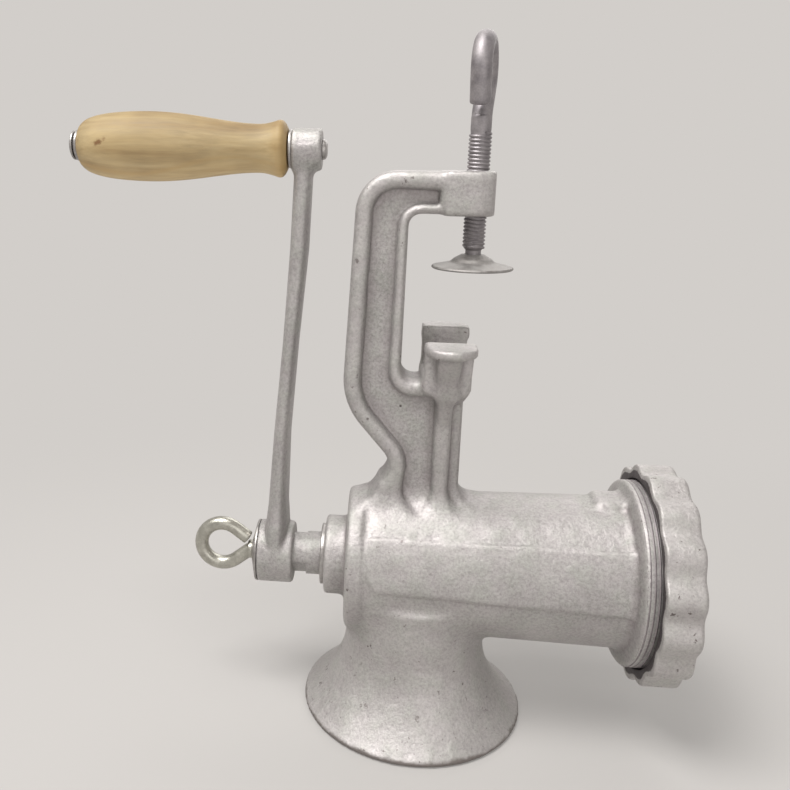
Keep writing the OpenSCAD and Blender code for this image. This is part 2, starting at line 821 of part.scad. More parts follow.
// Turned profile of the grip, as radius and distance from its outer end
module handle_grip() {
    l = grip_l;
    color("#d6c295")
        along_x(handle_z)
            translate([0, 0, grip_back_x])
                rotate_extrude()
                    polygon([[spindle_r + spindle_gap, 0], [grip_r * 0.55, 0], [grip_r * 0.68, 1],
                        [grip_r * 0.78, 3.5], [grip_r * 0.87, 9], [grip_r * 0.94, 16],
                        [grip_r * 0.985, 24], [grip_r, 33], [grip_r * 0.97, 42],
                        [(grip_r + waist_r) * 0.52, l - 36], [(grip_r + waist_r) * 0.45, l - 27],
                        [waist_r, l - 18], [waist_r, l - 12], [waist_r + 0.6, l - 7.5],
                        [waist_r + 1.7, l - 4.4], [waist_r + 1.6, l - 3.4], [waist_r - 1.8, l],
                        [spindle_r + spindle_gap, l]]);
}

module handle_outer_washer() {
    color("#8f8d8a")
        difference() {
            rod_x(grip_back_x - side_gap - washer_t, grip_back_x - side_gap, outer_washer_r, handle_z);
            rod_x(grip_back_x - 5, grip_back_x, spindle_r, handle_z);
        }
}

module handle_inner_washer() {
    color("#6f6d6a")
        difference() {
            rod_x(tip_back_x - washer_t, tip_back_x, inner_washer_r, handle_z);
            rod_x(tip_back_x - 5, tip_back_x + over, spindle_r, handle_z);
        }
}

body_casting();
rear_bush();
auger();
thrust_washer();
auger_stud();
knife();
grinding_plate();
plate_pin();
ring_nut();
clamp_screw();
clamp_pad();
crank_arm();
crank_cup_washer();
eye_screw();
handle_spindle();
handle_grip();
handle_outer_washer();
handle_inner_washer();
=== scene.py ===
"""Hand crank meat grinder, standing on its hopper rim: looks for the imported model.

Sizes are in millimetres in this file and become metres when a mesh is made.
X runs along the barrel to the ring nut, Y away from the camera, Z up.
"""

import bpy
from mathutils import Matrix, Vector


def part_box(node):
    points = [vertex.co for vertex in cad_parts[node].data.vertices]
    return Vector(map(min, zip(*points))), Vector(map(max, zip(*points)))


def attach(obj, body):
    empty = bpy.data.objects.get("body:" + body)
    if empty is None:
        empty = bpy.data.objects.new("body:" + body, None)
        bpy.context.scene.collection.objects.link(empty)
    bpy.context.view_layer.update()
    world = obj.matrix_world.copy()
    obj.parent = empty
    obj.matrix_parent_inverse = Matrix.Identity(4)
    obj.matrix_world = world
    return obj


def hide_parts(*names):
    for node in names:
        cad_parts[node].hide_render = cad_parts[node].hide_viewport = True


bl_info = {
    "name": "Hand crank meat grinder",
    "version": (1, 0, 0),
    "blender": (4, 5, 0),
    "location": "3D View > Sidebar > Grinder",
    "description": "Builds the grinder's casting, crank, clamp and handle on its frame",
    "category": "Object",
}

import bpy
import numpy as np
from bpy.props import FloatProperty, FloatVectorProperty, IntProperty, PointerProperty, StringProperty
from functools import partial
from math import acos, asin, atan2, cos, degrees, hypot, pi, radians, sin, tan
from mathutils import Matrix, Vector

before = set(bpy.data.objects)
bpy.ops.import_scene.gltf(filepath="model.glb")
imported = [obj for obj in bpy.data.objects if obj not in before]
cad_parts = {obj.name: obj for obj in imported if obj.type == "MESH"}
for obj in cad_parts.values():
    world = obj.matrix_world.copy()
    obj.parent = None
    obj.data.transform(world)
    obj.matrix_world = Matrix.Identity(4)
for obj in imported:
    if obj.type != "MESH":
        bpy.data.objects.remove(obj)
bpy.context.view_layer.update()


def span(node, axis="X"):
    """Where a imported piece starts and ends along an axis, in millimetres."""
    low, high = (float(corner["XYZ".index(axis)]) * 1000 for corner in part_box(node))
    return low, high


AXIS_Z = sum(span("rear_bush", "Z")) / 2
HANDLE_Z = sum(span("handle_grip", "Z")) / 2
SCREW_X = sum(span("clamp_pad")) / 2
FRONT_X = span("body_casting")[1]
TOP_Z = span("body_casting", "Z")[1]

# Lines that things turn about: the way each runs and a point on it
SHAFT_LINE = ("X", (0, 0, AXIS_Z))
HANDLE_LINE = ("X", (0, 0, HANDLE_Z))
SCREW_LINE = ("Z", (SCREW_X, 0, 0))
HOPPER_LINE = ("Z", (0, 0, 0))

# Each piece: its finish, the record's slot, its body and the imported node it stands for
PIECES = {
    "casting": ("cast", "tinned_casting", "body", "body_casting"),
    "barrel_thread": ("cut_thread", "tinned_casting", "body", None),
    "lobed_ring": ("cast", "tinned_casting", "ring", "ring_nut"),
    "worm_and_shaft": ("cast", "tinned_casting", "crank", "auger"),
    "turned_bush": ("plated", "bush_metal", "body", "rear_bush"),
    "crank": ("cast", "tinned_casting", "crank", "crank_arm"),
    "cone_washer": ("plated", "plated_steel", "crank_washer", "crank_cup_washer"),
    "wire_eye": ("zinc", "zinc_wire", "crank_screw", "eye_screw"),
    "turned_grip": ("wood", "pale_wood", "grip", "handle_grip"),
    "riveted_spindle": ("plated", "plated_steel", "crank", "handle_spindle"),
    "outer_washer": ("plated", "plated_steel", "crank", "handle_outer_washer"),
    "inner_washer": ("plated", "plated_steel", "crank", "handle_inner_washer"),
    "clamp_screw_rod": ("rod", "dark_thread_steel", "screw", "clamp_screw"),
    "dished_pad": ("pad", "plated_steel", "pad", "clamp_pad"),
}
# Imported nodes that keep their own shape, and their finish
KEPT_NODES = {"grinding_plate": "blade", "knife": "blade", "plate_pin": "plated", "auger_stud": "plated",
              "thrust_washer": "fibre"}


# ---- mesh tools

def add_piece(name, verts, faces, sharp=35):
    """The named piece from points in millimetres, with its finish and body."""
    key, slot, body, node = PIECES[name]
    mesh = bpy.data.meshes.new(name)
    mesh.from_pydata([tuple(v) for v in np.asarray(verts, float) * 0.001], [], faces)
    mesh.validate()
    mesh.update()
    mesh.materials.append(finish_named(key))
    mesh.shade_smooth()
    mesh.set_sharp_from_angle(angle=radians(sharp))
    obj = bpy.data.objects.new(name, mesh)
    bpy.context.scene.collection.objects.link(obj)
    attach(obj, body)
    if node:
        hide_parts(node)
    return obj


def mark(obj, name, values):
    """Writes a number at each point of a piece, which its finish reads."""
    layer = obj.data.attributes.new(name, "FLOAT", "POINT")
    layer.data.foreach_set("value", np.asarray(values, np.float32))


def joined(*parts):
    """Several (points, faces) pairs as one."""
    verts, faces, n = [], [], 0
    for points, polygons in parts:
        verts.append(np.asarray(points, float))
        faces += [tuple(i + n for i in polygon) for polygon in polygons]
        n += len(points)
    return np.concatenate(verts), faces


def rounded(points, radii, steps=4):
    """Closed outline with each corner rounded to its radius."""
    out, n = [], len(points)
    for i, corner in enumerate(points):
        corner = np.array(corner, float)
        a = np.array(points[i - 1], float) - corner
        b = np.array(points[(i + 1) % n], float) - corner
        length_a, length_b = np.linalg.norm(a), np.linalg.norm(b)
        if radii[i] <= 0 or length_a < 1e-6 or length_b < 1e-6 or corner[0] < 1e-6:
            out.append(corner)
            continue
        a, b = a / length_a, b / length_b
        half = acos(max(-1, min(1, float(a @ b)))) / 2
        if half > pi / 2 - 0.02:
            out.append(corner)
            continue
        cut = min(radii[i] / tan(half), length_a * 0.48, length_b * 0.48)
        for t in (k / steps for k in range(steps + 1)):
            out.append((1 - t) ** 2 * (corner + a * cut) + 2 * t * (1 - t) * corner
                       + t * t * (corner + b * cut))
    return out


def spot(r, place, angle, line):
    """Point at a radius and an angle round a line, at a place along it."""
    axis, (x, y, z) = line
    if axis == "X":
        return place, y + r * cos(angle), z + r * sin(angle)
    return x + r * cos(angle), y + r * sin(angle), place


def revolve(outline, line, segments=96, wave=None):
    """Closed outline of (radius, place along the line) turned about a line.

    wave(angle, radius, place) may give another radius."""
    outline = [tuple(p) for p in outline]
    area = sum(a[0] * b[1] - b[0] * a[1] for a, b in zip(outline, outline[1:] + outline[:1]))
    if area < 0:
        outline = outline[::-1]
    rows, verts, faces = [], [], []
    for r, place in outline:
        count = 1 if r < 1e-6 else segments
        rows.append([len(verts) + k % count for k in range(segments)])
        for angle in (2 * pi * k / segments for k in range(count)):
            verts.append(spot(wave(angle, r, place) if wave else r, place, angle, line))
    for row, after in zip(rows, rows[1:] + rows[:1]):
        if row[0] == row[1] and after[0] == after[1]:
            continue
        for k in range(segments):
            m = (k + 1) % segments
            faces.append(tuple(dict.fromkeys((row[k], row[m], after[m], after[k]))))
    return np.array(verts), faces


def turned(points, radii, line, segments=96, steps=4):
    """A turned solid from a profile whose corners are rounded."""
    return revolve(rounded(points, radii, steps), line, segments)


def wrapped(rows, sides):
    """Quads between rows of points that each go once round."""
    return [(a * sides + k, a * sides + (k + 1) % sides, (a + 1) * sides + (k + 1) % sides, (a + 1) * sides + k)
            for a in range(rows - 1) for k in range(sides)]


def smooth_path(points, n):
    """n points along a smooth curve through the points given."""
    p = np.array(points, float)
    p = np.vstack([2 * p[0] - p[1], p, 2 * p[-1] - p[-2]])
    spans = len(p) - 3
    out = []
    for s in (spans * i / (n - 1) for i in range(n)):
        k = min(int(s), spans - 1)
        t = s - k
        a, b, c, d = p[k:k + 4]
        out.append(0.5 * (2 * b + (c - a) * t + (2 * a - 5 * b + 4 * c - d) * t * t
                          + (3 * b - a - 3 * c + d) * t ** 3))
    return np.array(out)


def eased_path(points, step, rounds):
    """A path with its points about a step apart and its corners averaged out."""
    points = np.array(points, float)
    out = [points[0]]
    for a, b in zip(points, points[1:]):
        n = max(1, int(np.linalg.norm(b - a) / step))
        out += [a + (b - a) * (k + 1) / n for k in range(n)]
    out = np.array(out)
    for _ in range(rounds):
        out[1:-1] = (out[:-2] + 2 * out[1:-1] + out[2:]) / 4
    return out


def tube(path, radius, sides, ease):
    """Round bar along a path with eased ends; radius may be one for each point."""
    path = np.asarray(path, float)
    radius = np.broadcast_to(radius, len(path))
    tangent = np.gradient(path, axis=0)
    tangent /= np.linalg.norm(tangent, axis=1, keepdims=True)
    # rings: the path's point, how far along from it, and how much narrower
    end = [(0, 0.0, ease), (0, ease * 0.4, ease * 0.25), (0, ease, 0.0)]
    rings = end + [(i, 0.0, 0.0) for i in range(1, len(path) - 1)] + [(-1, -s, off) for _, s, off in end[::-1]]
    side = np.cross(tangent[0], (0.3, 0.5, 0.8))
    verts = []
    for i, along, off in rings:
        side = side - tangent[i] * (side @ tangent[i])
        side /= np.linalg.norm(side)
        up = np.cross(tangent[i], side)
        for angle in (2 * pi * k / sides for k in range(sides)):
            spoke = cos(angle) * side + sin(angle) * up
            verts.append(path[i] + tangent[i] * along + (radius[i] - off) * spoke)
    faces = wrapped(len(rings), sides)
    first, last = len(verts), len(verts) + 1
    verts += [path[0], path[-1]]
    for k in range(sides):
        m = (k + 1) % sides
        faces += [(first, m, k), (last, first - sides + k, first - sides + m)]
    return np.array(verts), faces


# ---- soft cast solids
# A casting has no sharp inside corners. Its pieces are distance fields on a
# grid, which are blended over a fillet's radius and then skinned.

class Field:
    """Grid of points in millimetres with the distances of soft solids on it."""

    def __init__(self, low, high, step):
        self.step = step
        self.low = np.array(low, float)
        count = np.ceil((np.array(high, float) - self.low) / step).astype(int) + 1
        self.x, self.y, self.z = (
            (self.low[i] + step * np.arange(count[i])).astype(np.float32) for i in range(3))

    def grids(self):
        """The three coordinates, each shaped so that they spread over the grid."""
        return self.x[:, None, None], self.y[None, :, None], self.z[None, None, :]

    def turned(self, outline, line):
        """Distance to a solid turned about a line along X or Z."""
        axis, (x0, _, z0) = line
        if axis == "X":
            places, u, v = self.x, self.y, self.z - z0
        else:
            places, u, v = self.z, self.x - x0, self.y
        r = np.hypot(u[:, None], v[None, :])
        table = np.arange(0, r.max() + 1, 0.25)
        layers = [np.interp(r, table, outline_distance(table, np.full_like(table, place), outline))
                  .astype(np.float32) for place in places]
        return np.stack(layers, 0 if axis == "X" else 2)

    def across(self, outline, axis):
        """Distance to an outline that is the same all along X or all along Y."""
        u, v = (self.y if axis == "X" else self.x), self.z
        grid_u, grid_v = np.meshgrid(u, v, indexing="ij")
        return np.expand_dims(outline_distance(grid_u, grid_v, outline).astype(np.float32), "XY".index(axis))

    def block(self, low, high, r=1.0):
        """Distance to a box with rounded edges."""
        q = [np.abs(g - (a + b) / 2) - ((b - a) / 2 - r)
             for g, a, b in zip(self.grids(), low, high)]
        outside = np.sqrt(sum(np.maximum(c, 0) ** 2 for c in q))
        return outside + np.minimum(np.maximum(np.maximum(q[0], q[1]), q[2]), 0) - r


def outline_distance(px, py, outline):
    """Signed distance from points to a closed outline, negative inside."""
    px, py = np.asarray(px, np.float64), np.asarray(py, np.float64)
    best = np.full(px.shape, 1e9)
    inside = np.zeros(px.shape, bool)
    corners = [tuple(p) for p in outline]
    for (x0, y0), (x1, y1) in zip(corners, corners[1:] + corners[:1]):
        ex, ey = x1 - x0, y1 - y0
        length = ex * ex + ey * ey
        if length < 1e-12:
            continue
        t = np.clip(((px - x0) * ex + (py - y0) * ey) / length, 0, 1)
        best = np.minimum(best, (px - x0 - t * ex) ** 2 + (py - y0 - t * ey) ** 2)
        if ey != 0:
            inside ^= ((y0 > py) != (y1 > py)) & (px < ex * (py - y0) / ey + x0)
    return np.where(inside, -np.sqrt(best), np.sqrt(best))


def blend_union(a, b, fillet):
    """Union of two distances with a fillet between them."""
    h = np.clip(0.5 + 0.5 * (b - a) / fillet, 0, 1)
    return b * (1 - h) + a * h - fillet * h * (1 - h)


def blend_common(a, b, edge):
    """What two distances have in common, its edge rounded."""
    return -blend_union(-a, -b, edge)


def blend_cut(a, b, edge):
    """The first less the second, its edge rounded."""
    return -blend_union(-a, b, edge)


def shifted(axis, reach=1):
    """Slices that pair each grid point with the one that lies reach further on."""
    low, high = [slice(None)] * 3, [slice(None)] * 3
    low[axis], high[axis] = slice(0, -reach), slice(reach, None)
    return tuple(low), tuple(high)


def skin(field, values):
    """Closed skin of quads where a grid of distances is nought."""
    shape = values.shape
    cells = tuple(n - 1 for n in shape)
    total = np.zeros(cells + (3,), np.float32)
    count = np.zeros(cells, np.float32)
    inside = values < 0
    # one point a cell, at the mean of where the surface cuts the cell's edges
    for axis in range(3):
        low, high = shifted(axis)
        hit = inside[low] != inside[high]
        where = np.argwhere(hit)
        point = where.astype(np.float32)
        point[:, axis] += values[low][hit] / (values[low][hit] - values[high][hit])
        u, v = [i for i in range(3) if i != axis]
        for du, dv in ((0, 0), (0, -1), (-1, 0), (-1, -1)):
            cell = where.copy()
            cell[:, u] += du
            cell[:, v] += dv
            good = np.all((cell >= 0) & (cell < np.array(cells)), axis=1)
            at = tuple(cell[good].T)
            np.add.at(total, at, point[good])
            np.add.at(count, at, 1)
    used = count > 0
    index = np.full(cells, -1, np.int64)
    index[used] = np.arange(used.sum())
    verts = total[used] / count[used][:, None] * field.step + field.low
    # one quad for each grid edge that the surface cuts
    faces = []
    for axis in range(3):
        low, high = shifted(axis)
        u, v = (axis + 1) % 3, (axis + 2) % 3
        where = np.argwhere(inside[low] != inside[high])
        where = where[(where[:, u] > 0) & (where[:, v] > 0)
                      & (where[:, u] < shape[u] - 1) & (where[:, v] < shape[v] - 1)]
        corners = []
        for du, dv in ((-1, -1), (0, -1), (0, 0), (-1, 0)):
            cell = where.copy()
            cell[:, u] += du
            cell[:, v] += dv
            corners.append(index[tuple(cell.T)])
        quads = np.stack(corners, 1)
        outward = inside[low][tuple(where.T)]
        quads[~outward] = quads[~outward][:, ::-1]
        faces.append(quads)
    return verts, np.concatenate(faces)


def soften(values, reach):
    """Distances averaged over a cube, which tells edges from hollows."""
    out = values.astype(np.float32)
    width = 2 * reach + 1
    for axis in range(3):
        pad = [(0, 0)] * 3
        pad[axis] = (reach + 1, reach)
        sums = np.cumsum(np.pad(out, pad, mode="edge"), axis=axis, dtype=np.float64)
        low, high = shifted(axis, width)
        out = ((sums[high] - sums[low]) / width).astype(np.float32)
    return out


def sample(field, values, points):
    """Values of a grid at points between its places."""
    at = (points - field.low) / field.step
    i = np.clip(np.floor(at).astype(int), 0, np.array(values.shape) - 2)
    t = np.clip(at - i, 0, 1)
    out = np.zeros(len(points))
    for corner in np.ndindex(2, 2, 2):
        share = np.where(corner, t, 1 - t).prod(1)
        out += share * values[tuple((i + corner).T)]
    return out


def settle(field, values, verts, quads, rounds=3):
    """Evens the skin's points out, and sets each one back on the surface."""
    verts = verts.astype(float)
    pairs = np.concatenate([quads[:, [k, (k + 1) % 4]] for k in range(4)])
    near = np.bincount(pairs[:, 0], minlength=len(verts))[:, None]
    half = field.step * 0.5
    for _ in range(rounds):
        mean = np.stack([np.bincount(pairs[:, 0], verts[pairs[:, 1], k], len(verts)) for k in range(3)], 1)
        verts = verts + 0.5 * (mean / np.maximum(near, 1) - verts)
        for _ in range(2):
            slope = np.stack([sample(field, values, verts + nudge) - sample(field, values, verts - nudge)
                              for nudge in np.eye(3) * half], 1) / (2 * half)
            steepness = np.maximum((slope ** 2).sum(1), 0.25)
            move = -sample(field, values, verts)[:, None] * slope / steepness[:, None]
            verts = verts + np.clip(move, -0.6 * field.step, 0.6 * field.step)
    return verts


def add_skin(name, field, values):
    """A cast piece from a distance grid, marked where it bends out or in."""
    verts, quads = skin(field, values)
    verts = settle(field, values, verts, quads)
    obj = add_piece(name, verts, quads.tolist(), 80)
    bend = sample(field, soften(values, 3), verts) - sample(field, values, verts)
    # bending in gives painted shade in the hollows, bending out gives worn and knocked edges
    mark(obj, "edge_wear", np.clip(bend / 1.2, -1, 1))


# ---- materials

NOISE, RAMP, MIX = "ShaderNodeTexNoise", "ShaderNodeValToRGB", "ShaderNodeMix"
MATH, VECTOR_MATH, MAPPING = "ShaderNodeMath", "ShaderNodeVectorMath", "ShaderNodeMapping"
BUMP, PRINCIPLED, OUTPUT = "ShaderNodeBump", "ShaderNodeBsdfPrincipled", "ShaderNodeOutputMaterial"
# A colour mix: the places of its sockets, and its settings
FACTOR, UNDER, OVER = 0, 6, 7
TINT = {"out": 2, "data_type": "RGBA"}
DARKEN = {**TINT, "blend_type": "MULTIPLY"}
# Sums that a maths node does
TIMES, PLUS, MINUS = ({"operation": name} for name in ("MULTIPLY", "ADD", "SUBTRACT"))


def linear(code):
    """An sRGB hex colour as the linear numbers that a shader takes."""
    out = []
    for i in (1, 3, 5):
        c = int(code[i:i + 2], 16) / 255
        out.append(c / 12.92 if c <= 0.04045 else ((c + 0.055) / 1.055) ** 2.4)
    return (*out, 1.0)


def add(tree, kind, inputs=(), out=0, stops=(), **settings):
    """Adds a node with its settings and links, and gives one of its outputs.

    An input is a number, a hex colour or another node's output; they come by
    name, or in order. Stops are a ramp's places, each with a grey or a hex
    colour. With out=None it gives all the outputs."""
    node = tree.nodes.new(kind)
    for key, value in settings.items():
        setattr(node, key, value)
    for key, value in inputs.items() if isinstance(inputs, dict) else enumerate(inputs):
        if isinstance(value, bpy.types.NodeSocket):
            tree.links.new(value, node.inputs[key])
        else:
            node.inputs[key].default_value = linear(value) if isinstance(value, str) else value
    if stops:
        elements = node.color_ramp.elements
        while len(elements) < len(stops):
            elements.new(0.5)
        for element, (place, shade) in zip(elements, stops):
            element.position = place
            element.color = linear(shade) if isinstance(shade, str) else (shade, shade, shade, 1)
    return node.outputs if out is None else node.outputs[out]


def start_material(name):
    """An empty material, a function that adds nodes to it, and the piece's coordinates."""
    material = bpy.data.materials.new(name)
    material.use_nodes = True
    material.node_tree.nodes.clear()
    put = partial(add, material.node_tree)
    return material, put, put("ShaderNodeTexCoord", out="Object")


def sand_cast_tin(finish):
    """Hot-tinned iron sand casting: satin silver, faint grain from the mould,
    a cloudy warm and cool tint, a few dark pin holes, and painted shade in the hollows."""
    material, put, where = start_material("sand_cast_tinned_iron")
    # by size in millimetres: clouds and patches of tint, the mould's grain drawn a little
    # coarser than real sand, where pin holes are, flakes knocked off, and a slow swell
    clouds, patches, grain, places, flakes, swell = (
        put(NOISE, {"Vector": where, "Scale": 1000 / size, "Detail": detail, "Roughness": rough})
        for size, detail, rough in ((30, 3, 0.6), (9, 3, 0.6), (1.2, 4, 0.75), (26, 1, 0.5), (3.4, 3, 0.7),
                                    (9, 2, 0.5)))
    base = put(RAMP, {"Fac": clouds}, stops=((0.32, finish.casting_dark), (0.68, finish.casting_light)))
    tint = put(RAMP, {"Fac": patches}, stops=((0.36, "#ABA5A6"), (0.5, "#AEABA9"), (0.66, "#ABADA6")))
    colour = put(MIX, {FACTOR: 0.45, UNDER: base, OVER: tint}, **TINT)
    shade = put(RAMP, {"Fac": grain}, stops=((0.34, 0.66), (0.60, 1.04)))
    colour = put(MIX, {FACTOR: 0.8, UNDER: colour, OVER: shade}, **DARKEN)
    # pin holes about 0.8 mm across, 11 mm apart in a few places
    holes = put("ShaderNodeTexVoronoi", {"Vector": where, "Scale": 1000 / 11})
    pits = put(MIX, {FACTOR: 1.0, UNDER: put(RAMP, {"Fac": holes}, stops=((0.035, 1), (0.075, 0))),
                     OVER: put(RAMP, {"Fac": places}, stops=((0.62, 0), (0.66, 1)))}, **DARKEN)
    # how much the piece bends out or in, at half strength; the hollows get painted shade from it
    rub_and_shade = put("ShaderNodeAttribute", out="Fac", attribute_name="edge_wear")
    outward = put(MATH, (rub_and_shade, 0.5), **TIMES)
    inward = put(MATH, (rub_and_shade, -0.5), **TIMES)
    # chips only where edges are knocked
    chips = put(MIX, {FACTOR: 1.0, UNDER: put(RAMP, {"Fac": flakes}, stops=((0.64, 0), (0.70, 1.0))),
                      OVER: put(RAMP, {"Fac": outward}, stops=((0.24, 0), (0.38, 0.8)))}, **DARKEN)
    # painted shade of the gap beside the thread, ragged at its edge, where a piece is marked for it
    grease = put("ShaderNodeAttribute", out="Fac", attribute_name="grease")
    ragged = put(MATH, (put(MATH, (grease, 3.4), **TIMES), put(MATH, (grain, -1.2), **TIMES)), **PLUS)
    # height above the ground in millimetres, uneven by 4 mm
    height = put(MATH, (put("ShaderNodeSeparateXYZ", {"Vector": where}, out="Z"), 1000.0), **TIMES)
    uneven = put(MATH, (height, put(MATH, (patches, -4.0), **TIMES)), **PLUS)
    low = put(MATH, (uneven, 0.5), **TIMES)
    for mask, over in (
            (pits, "#4A4040"),
            # painted shade in the hollows, and worn brighter edges
            (put(RAMP, {"Fac": inward}, stops=((0.04, 0), (0.3, 0.35))), "#7C7273"),
            (put(RAMP, {"Fac": outward}, stops=((0.05, 0), (0.4, 0.18))), "#D4D0CD"),
            (chips, "#544846"),
            (put(RAMP, {"Fac": ragged}, stops=((0.2, 0), (0.6, 0.92))), "#453E40"),
            # the lip it stands on is darker for its lowest millimetres
            (put(RAMP, {"Fac": low}, stops=((0.0, 0.8), (0.5, 0.0))), "#6E6662")):
        colour = put(MIX, {FACTOR: mask, UNDER: colour, OVER: over}, **TINT)
    rough = put(RAMP, {"Fac": patches}, stops=((0.3, 0.5), (0.7, 0.62)))
    relief = put(MATH, (put(MATH, (grain, 0.4), **TIMES), put(MATH, (swell, 1.4), **TIMES)), **PLUS)
    bump = put(BUMP, {"Height": relief, "Strength": 0.8, "Distance": 0.0008})
    shader = put(PRINCIPLED, {"Base Color": colour, "Metallic": 0.78, "Roughness": rough, "Normal": bump})
    put(OUTPUT, {"Surface": shader}, out=None)
    return material


def turned_steel(name, dark, light, rough, groove_mm, axis, metallic):
    """Machined or drawn steel: fine turning lines round its axis under dull
    plating with cloudy stains 5 mm across."""
    material, put, where = start_material(name)
    stains = put(NOISE, {"Vector": where, "Scale": 1000 / 5, "Detail": 3, "Roughness": 0.6})
    fine = put(NOISE, {"Vector": where, "Scale": 1000 / 0.7, "Detail": 2, "Roughness": 0.6})
    colour = put(MIX, {FACTOR: 0.35, UNDER: put(RAMP, {"Fac": stains}, stops=((0.3, dark), (0.7, light))),
                       OVER: put(RAMP, {"Fac": fine}, stops=((0.3, 0.6), (0.65, 1.0)))}, **DARKEN)
    uneven = put(RAMP, {"Fac": stains}, stops=((0.3, rough - 0.06), (0.7, rough + 0.08)))
    # a wave texture has 20 bands in each unit of its scale
    lines = put("ShaderNodeTexWave", {"Vector": where, "Scale": 1000.0 / groove_mm / 20, "Distortion": 0.6,
                                      "Detail": 1.0, "Detail Scale": 2.0},
                out="Fac", wave_type="BANDS", bands_direction=axis)
    relief = put(MATH, (put(MATH, (lines, 0.3), **TIMES), fine), **PLUS)
    bump = put(BUMP, {"Height": relief, "Strength": 0.2, "Distance": 0.0003})
    shader = put(PRINCIPLED, {"Base Color": colour, "Metallic": metallic, "Roughness": uneven, "Normal": bump})
    put(OUTPUT, {"Surface": shader}, out=None)
    return material


def turned_wood(finish):
    """Turned pale hardwood, sanded and lightly sealed: long fine grain along
    the grip, a wandering darker streak, and one small knot."""
    grip_x = span("handle_grip")[0]
    material, put, where = start_material("turned_pale_hardwood")
    # fibres and bands are drawn out eleven times along the grip; by size in millimetres
    drawn = put(MAPPING, {"Vector": where, "Scale": (0.09, 1.0, 1.0)})
    fibre, bands, slow, wobble = (
        put(NOISE, {"Vector": place, "Scale": 1000 / size, "Detail": detail, "Roughness": rough,
                    "Distortion": twist})
        for place, size, detail, rough, twist in ((drawn, 1.3, 4, 0.6, 0.3), (drawn, 7, 3, 0.55, 0.6),
                                                  (where, 24, 2, 0.5, 0.0), (where, 2.2, 2, 0.6, 0.0)))
    colour = put(RAMP, {"Fac": bands},
                 stops=((0.3, finish.wood_dark), (0.52, finish.wood_mid), (0.72, finish.wood_light)))
    colour = put(MIX, {FACTOR: 0.42, UNDER: colour,
                       OVER: put(RAMP, {"Fac": fibre}, stops=((0.3, 0.55), (0.62, 1.0)))}, **DARKEN)
    # millimetres along the grip, and above its axis
    parts = put("ShaderNodeSeparateXYZ", {"Vector": where}, out=None)
    along, level = (put(MATH, (put(MATH, (parts[axis], start * 0.001), **MINUS), 1000.0), **TIMES)
                    for axis, start in (("X", grip_x), ("Z", HANDLE_Z)))
    # darker growth line that wanders 4 mm up and down, 8 mm below the axis
    swing = put(MATH, (put(MATH, (along, 48.0), **MINUS), 0.07), **TIMES)
    swing = put(MATH, (put(MATH, (swing,), operation="SINE"), 4.0), **TIMES)
    off = put(MATH, (level, put(MATH, (swing, 8.0), **MINUS)), **MINUS)
    off = put(MATH, (put(MATH, (off,), operation="ABSOLUTE"), put(MATH, (bands, 2.0), **TIMES)), **PLUS)
    streak = put(MATH, (off, 0.3), **TIMES)
    # the knot, 3 mm across, longer one way and tilted, with a brown ring
    centre = ((grip_x + 12.5) * 0.001, -0.0135, (HANDLE_Z + 1.5) * 0.001)
    aside = put(VECTOR_MATH, (where, centre), operation="SUBTRACT")
    tilted = put(MAPPING, {"Vector": aside, "Rotation": (0.0, radians(-32), 0.0), "Scale": (2.1, 1.0, 1.0)},
                 vector_type="TEXTURE")
    away = put(VECTOR_MATH, (tilted,), out="Value", operation="LENGTH")
    knot = put(MATH, (put(MATH, (away, 1000.0), **TIMES), put(MATH, (wobble, 3.4), **TIMES)), **PLUS)
    knot = put(MATH, (knot, 0.2), **TIMES)
    flare = put(MATH, (along, 0.01), **TIMES)
    for mask, stops, over in ((slow, ((0.4, 0), (0.75, 0.35)), "#BFA778"),
                              (streak, ((0.25, 0.55), (0.75, 0.0)), "#9C8256"),
                              (knot, ((0.42, 0.9), (0.66, 0.0)), "#6B4A2C"),
                              # end grain is browner where the flare is cut
                              (flare, ((0.85, 0.0), (0.93, 0.6)), "#9A7C4C")):
        mask = put(RAMP, {"Fac": mask}, stops=stops)
        colour = put(MIX, {FACTOR: mask, UNDER: colour, OVER: over}, **TINT)
    rough = put(RAMP, {"Fac": fibre}, stops=((0.3, 0.52), (0.7, 0.66)))
    bump = put(BUMP, {"Height": fibre, "Strength": 0.18, "Distance": 0.0003})
    shader = put(PRINCIPLED, {"Base Color": colour, "Roughness": rough, "IOR": 1.5, "Specular IOR Level": 0.35,
                              "Normal": bump})
    put(OUTPUT, {"Surface": shader}, out=None)
    return material


def pressed_fibre():
    """Pressed fibre washer: matt brown with short flecks."""
    material, put, where = start_material("pressed_fibre")
    flecks = put(NOISE, {"Vector": where, "Scale": 1000 / 0.9, "Detail": 3, "Roughness": 0.7})
    colour = put(RAMP, {"Fac": flecks}, stops=((0.3, "#3B2A1E"), (0.7, "#6B4F38")))
    bump = put(BUMP, {"Height": flecks, "Strength": 0.3, "Distance": 0.0002})
    shader = put(PRINCIPLED, {"Base Color": colour, "Roughness": 0.85, "Normal": bump})
    put(OUTPUT, {"Surface": shader}, out=None)
    return material


